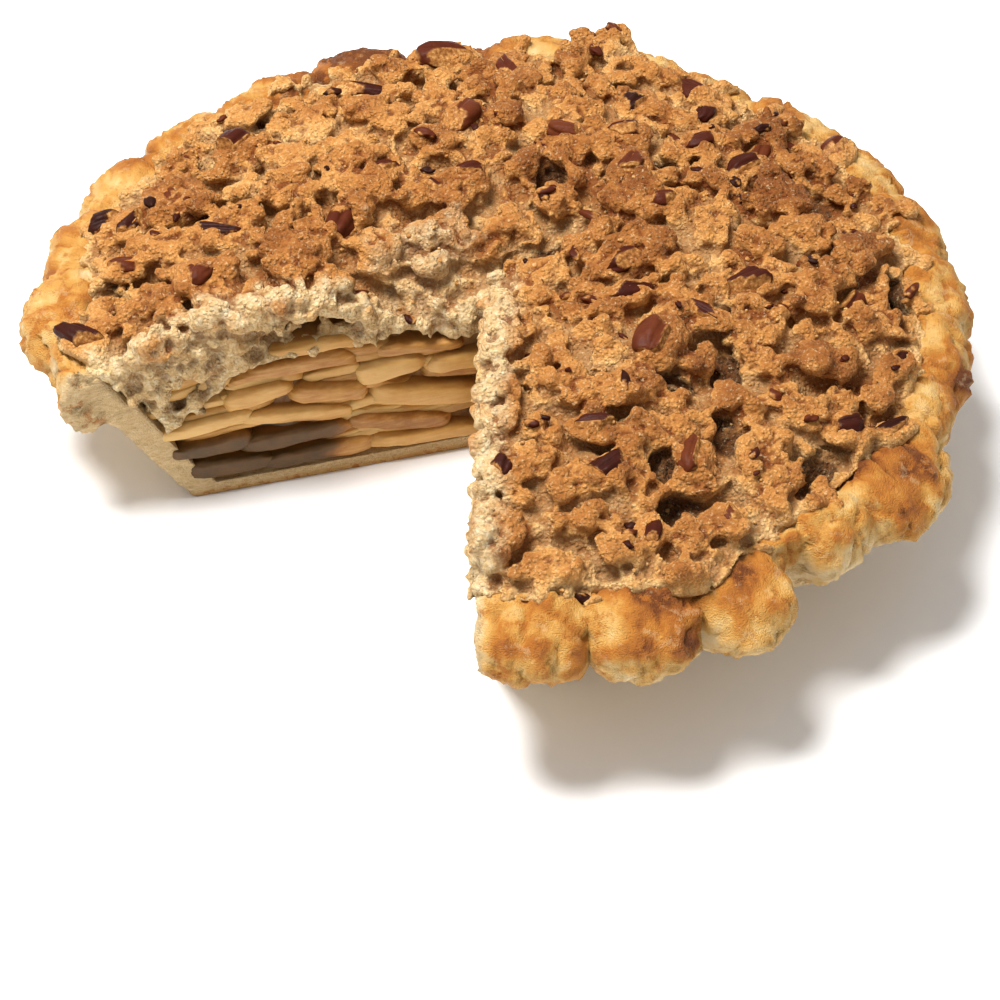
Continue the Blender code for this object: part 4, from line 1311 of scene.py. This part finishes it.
def crust_paint():
    paint = Paint("crust_finish", 0.60, 0.22)
    toast = paint.varied("toast", 6.0 * MM, 6.0, 0.68, 0.52)
    colour = paint.ramp(toast, CRUST_COLOURS)
    dough = paint.ramp(paint.noise(2.0 * MM, 4.0, 0.6, (1.0, 1.0, 3.0)), DOUGH_COLOURS)
    colour = paint.over(paint.attribute("fresh"), colour, dough)
    # Painted shade: the seam's groove on the outside of the rim darkened to a dull brown.
    colour = paint.over(paint.times(paint.attribute("seam"), 0.5), colour, (0.45, 0.22, 0.08))
    streak = paint.spread(paint.noise(4.5 * MM, 7.0, 0.74), 0.53, 0.60)
    streak = paint.times(streak, paint.spread(toast, 0.05, 0.55, 0.10, 0.80))
    colour = paint.over(streak, colour, (0.38, 0.125, 0.016))
    flour = paint.spread(paint.noise(5.5 * MM, 7.0, 0.74), 0.44, 0.38)
    colour = paint.over(paint.times(flour, 0.20), colour, (0.74, 0.56, 0.31))
    freckle = paint.spread(paint.cells(2.4 * MM), 0.17, 0.08)
    freckle = paint.times(freckle, paint.spread(paint.noise(9.0 * MM), 0.50, 0.60))
    colour = paint.over(paint.times(freckle, 0.5), colour, (0.28, 0.09, 0.02))
    height = paint.plus(paint.noise(3.2 * MM, 6.0, 0.68), paint.noise(0.4 * MM, 2.0, 0.5))
    return paint.finish(colour, normal=paint.bump(height, 0.90 * MM, 0.9))


def apple_paint():
    paint = Paint("apple_finish", 0.42, 0.3)
    tint = paint.varied("tint", 6.0 * MM, 4.0, 0.6, 0.36)
    colour = paint.ramp(tint, APPLE_COLOURS)
    streak = paint.spread(paint.noise(1.5 * MM, 3.0, 0.6, (0.25, 0.25, 1.6)), 0.35, 0.70)
    streak = paint.times(streak, paint.spread(tint, 0.70, 0.50))
    colour = paint.over(paint.times(streak, 0.30), colour, (0.70, 0.46, 0.17))
    edge = paint.spread(paint.attribute("rim"), 0.72, 0.98)
    colour = paint.over(paint.times(edge, 0.70), colour, (0.21, 0.080, 0.016))
    paint.shader.inputs["Subsurface Weight"].default_value = 0.25
    paint.shader.inputs["Subsurface Radius"].default_value = (1.0, 0.5, 0.2)
    paint.shader.inputs["Subsurface Scale"].default_value = 2.5 * MM
    height = paint.noise(1.2 * MM, 4.0, 0.6, (0.4, 0.4, 1.0))
    return paint.finish(colour, normal=paint.bump(height, 0.30 * MM, 0.6))


def core_paint():
    paint = Paint("apple_core_finish", 0.40, 0.5)
    colour = paint.ramp(paint.noise(4.0 * MM, 4.0, 0.6), CORE_COLOURS)
    colour = paint.over(paint.attribute("tint"), colour, (0.075, 0.048, 0.018))
    height = paint.noise(1.6 * MM, 4.0, 0.6)
    return paint.finish(colour, normal=paint.bump(height, 0.5 * MM, 0.8))


def pecan_paint(name):
    paint = Paint(name, 0.42, 0.06)
    tone = paint.varied("tone", 2.6 * MM, 4.0, 0.6, 0.6)
    colour = paint.ramp(tone, PECAN_COLOURS)
    meat = paint.ramp(paint.noise(1.2 * MM, 4.0, 0.6), PECAN_MEAT_COLOURS)
    colour = paint.over(paint.attribute("broken"), colour, meat)
    height = paint.noise(0.8 * MM, 3.0, 0.6)
    return paint.finish(colour, normal=paint.bump(height, 0.25 * MM, 0.6))


# Stage


def set_stage():
    bpy.ops.mesh.primitive_plane_add(size=FLOOR_SIZE, location=(0.0, 0.0, -FLOOR_DROP))
    floor = bpy.context.object
    floor.name = "floor"
    floor.data.materials.append(Paint("floor_finish", 0.9, 0.1).finish(FLOOR_COLOUR))
    world = bpy.data.worlds.new("studio")
    world.use_nodes = True
    surround = world.node_tree.nodes["Background"].inputs
    surround["Color"].default_value = (1.0, 1.0, 1.0, 1.0)
    surround["Strength"].default_value = SURROUND_STRENGTH
    bpy.context.scene.world = world
    bpy.context.scene.view_settings.view_transform = "Standard"


def set_lamp():
    data = bpy.data.lights.new("key", "AREA")
    data.shape, data.size = "DISK", LAMP_SIZE
    data.energy, data.color = LAMP_POWER, LAMP_COLOUR
    lamp = bpy.data.objects.new("key", data)
    lamp.location = LAMP_PLACE
    lamp.rotation_euler = (-LAMP_PLACE).to_track_quat("-Z", "Y").to_euler()
    bpy.context.scene.collection.objects.link(lamp)


def set_camera():
    data = bpy.data.cameras.new("camera")
    data.lens, data.sensor_width = CAMERA_LENS, CAMERA_SENSOR
    data.clip_start, data.clip_end = 0.05, 20.0
    camera = bpy.data.objects.new("camera", data)
    rise = math.radians(CAMERA_ELEVATION)
    back = Vector((0.0, -math.cos(rise), math.sin(rise)))
    camera.location = CAMERA_TARGET + back * CAMERA_DISTANCE
    camera.rotation_euler = (math.radians(90.0 - CAMERA_ELEVATION - CAMERA_EXTRA_PITCH), 0.0, 0.0)
    bpy.context.scene.collection.objects.link(camera)
    bpy.context.scene.camera = camera


def dress(obj, material, slot, *replaced):
    """Gives a piece its finish, sets it on the root body and hides the parts that it replaces."""
    obj.data.materials.clear()
    obj.data.materials.append(material)
    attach(obj, "root")
    if replaced:
        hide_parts(*replaced)


def main():
    for obj in list(bpy.data.objects):
        bpy.data.objects.remove(obj)
    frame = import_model()
    nodes = frame["nodes"]

    crust = crust_piece()
    dress(crust, crust_paint(), "pastry", "crust")
    dress(slices_piece(), apple_paint(), "apple", "apple_filling")
    dress(core_piece(nodes), core_paint(), "apple")
    crumble = crumble_piece(nodes, crust)
    dress(grain_piece(crumble), crumble_paint("grain_finish"), "crumble")
    dress(chips_piece(crumble), pecan_paint("chip_finish"), "pecan")
    dress(crumble, crumble_paint("crumble_finish"), "crumble", "crumble")
    names = [f"pecan_{i + 1:02d}" for i in range(len(PECANS))]
    dress(pecans_piece(), pecan_paint("pecan_finish"), "pecan", *names)

    set_stage()
    set_lamp()
    set_camera()


main()
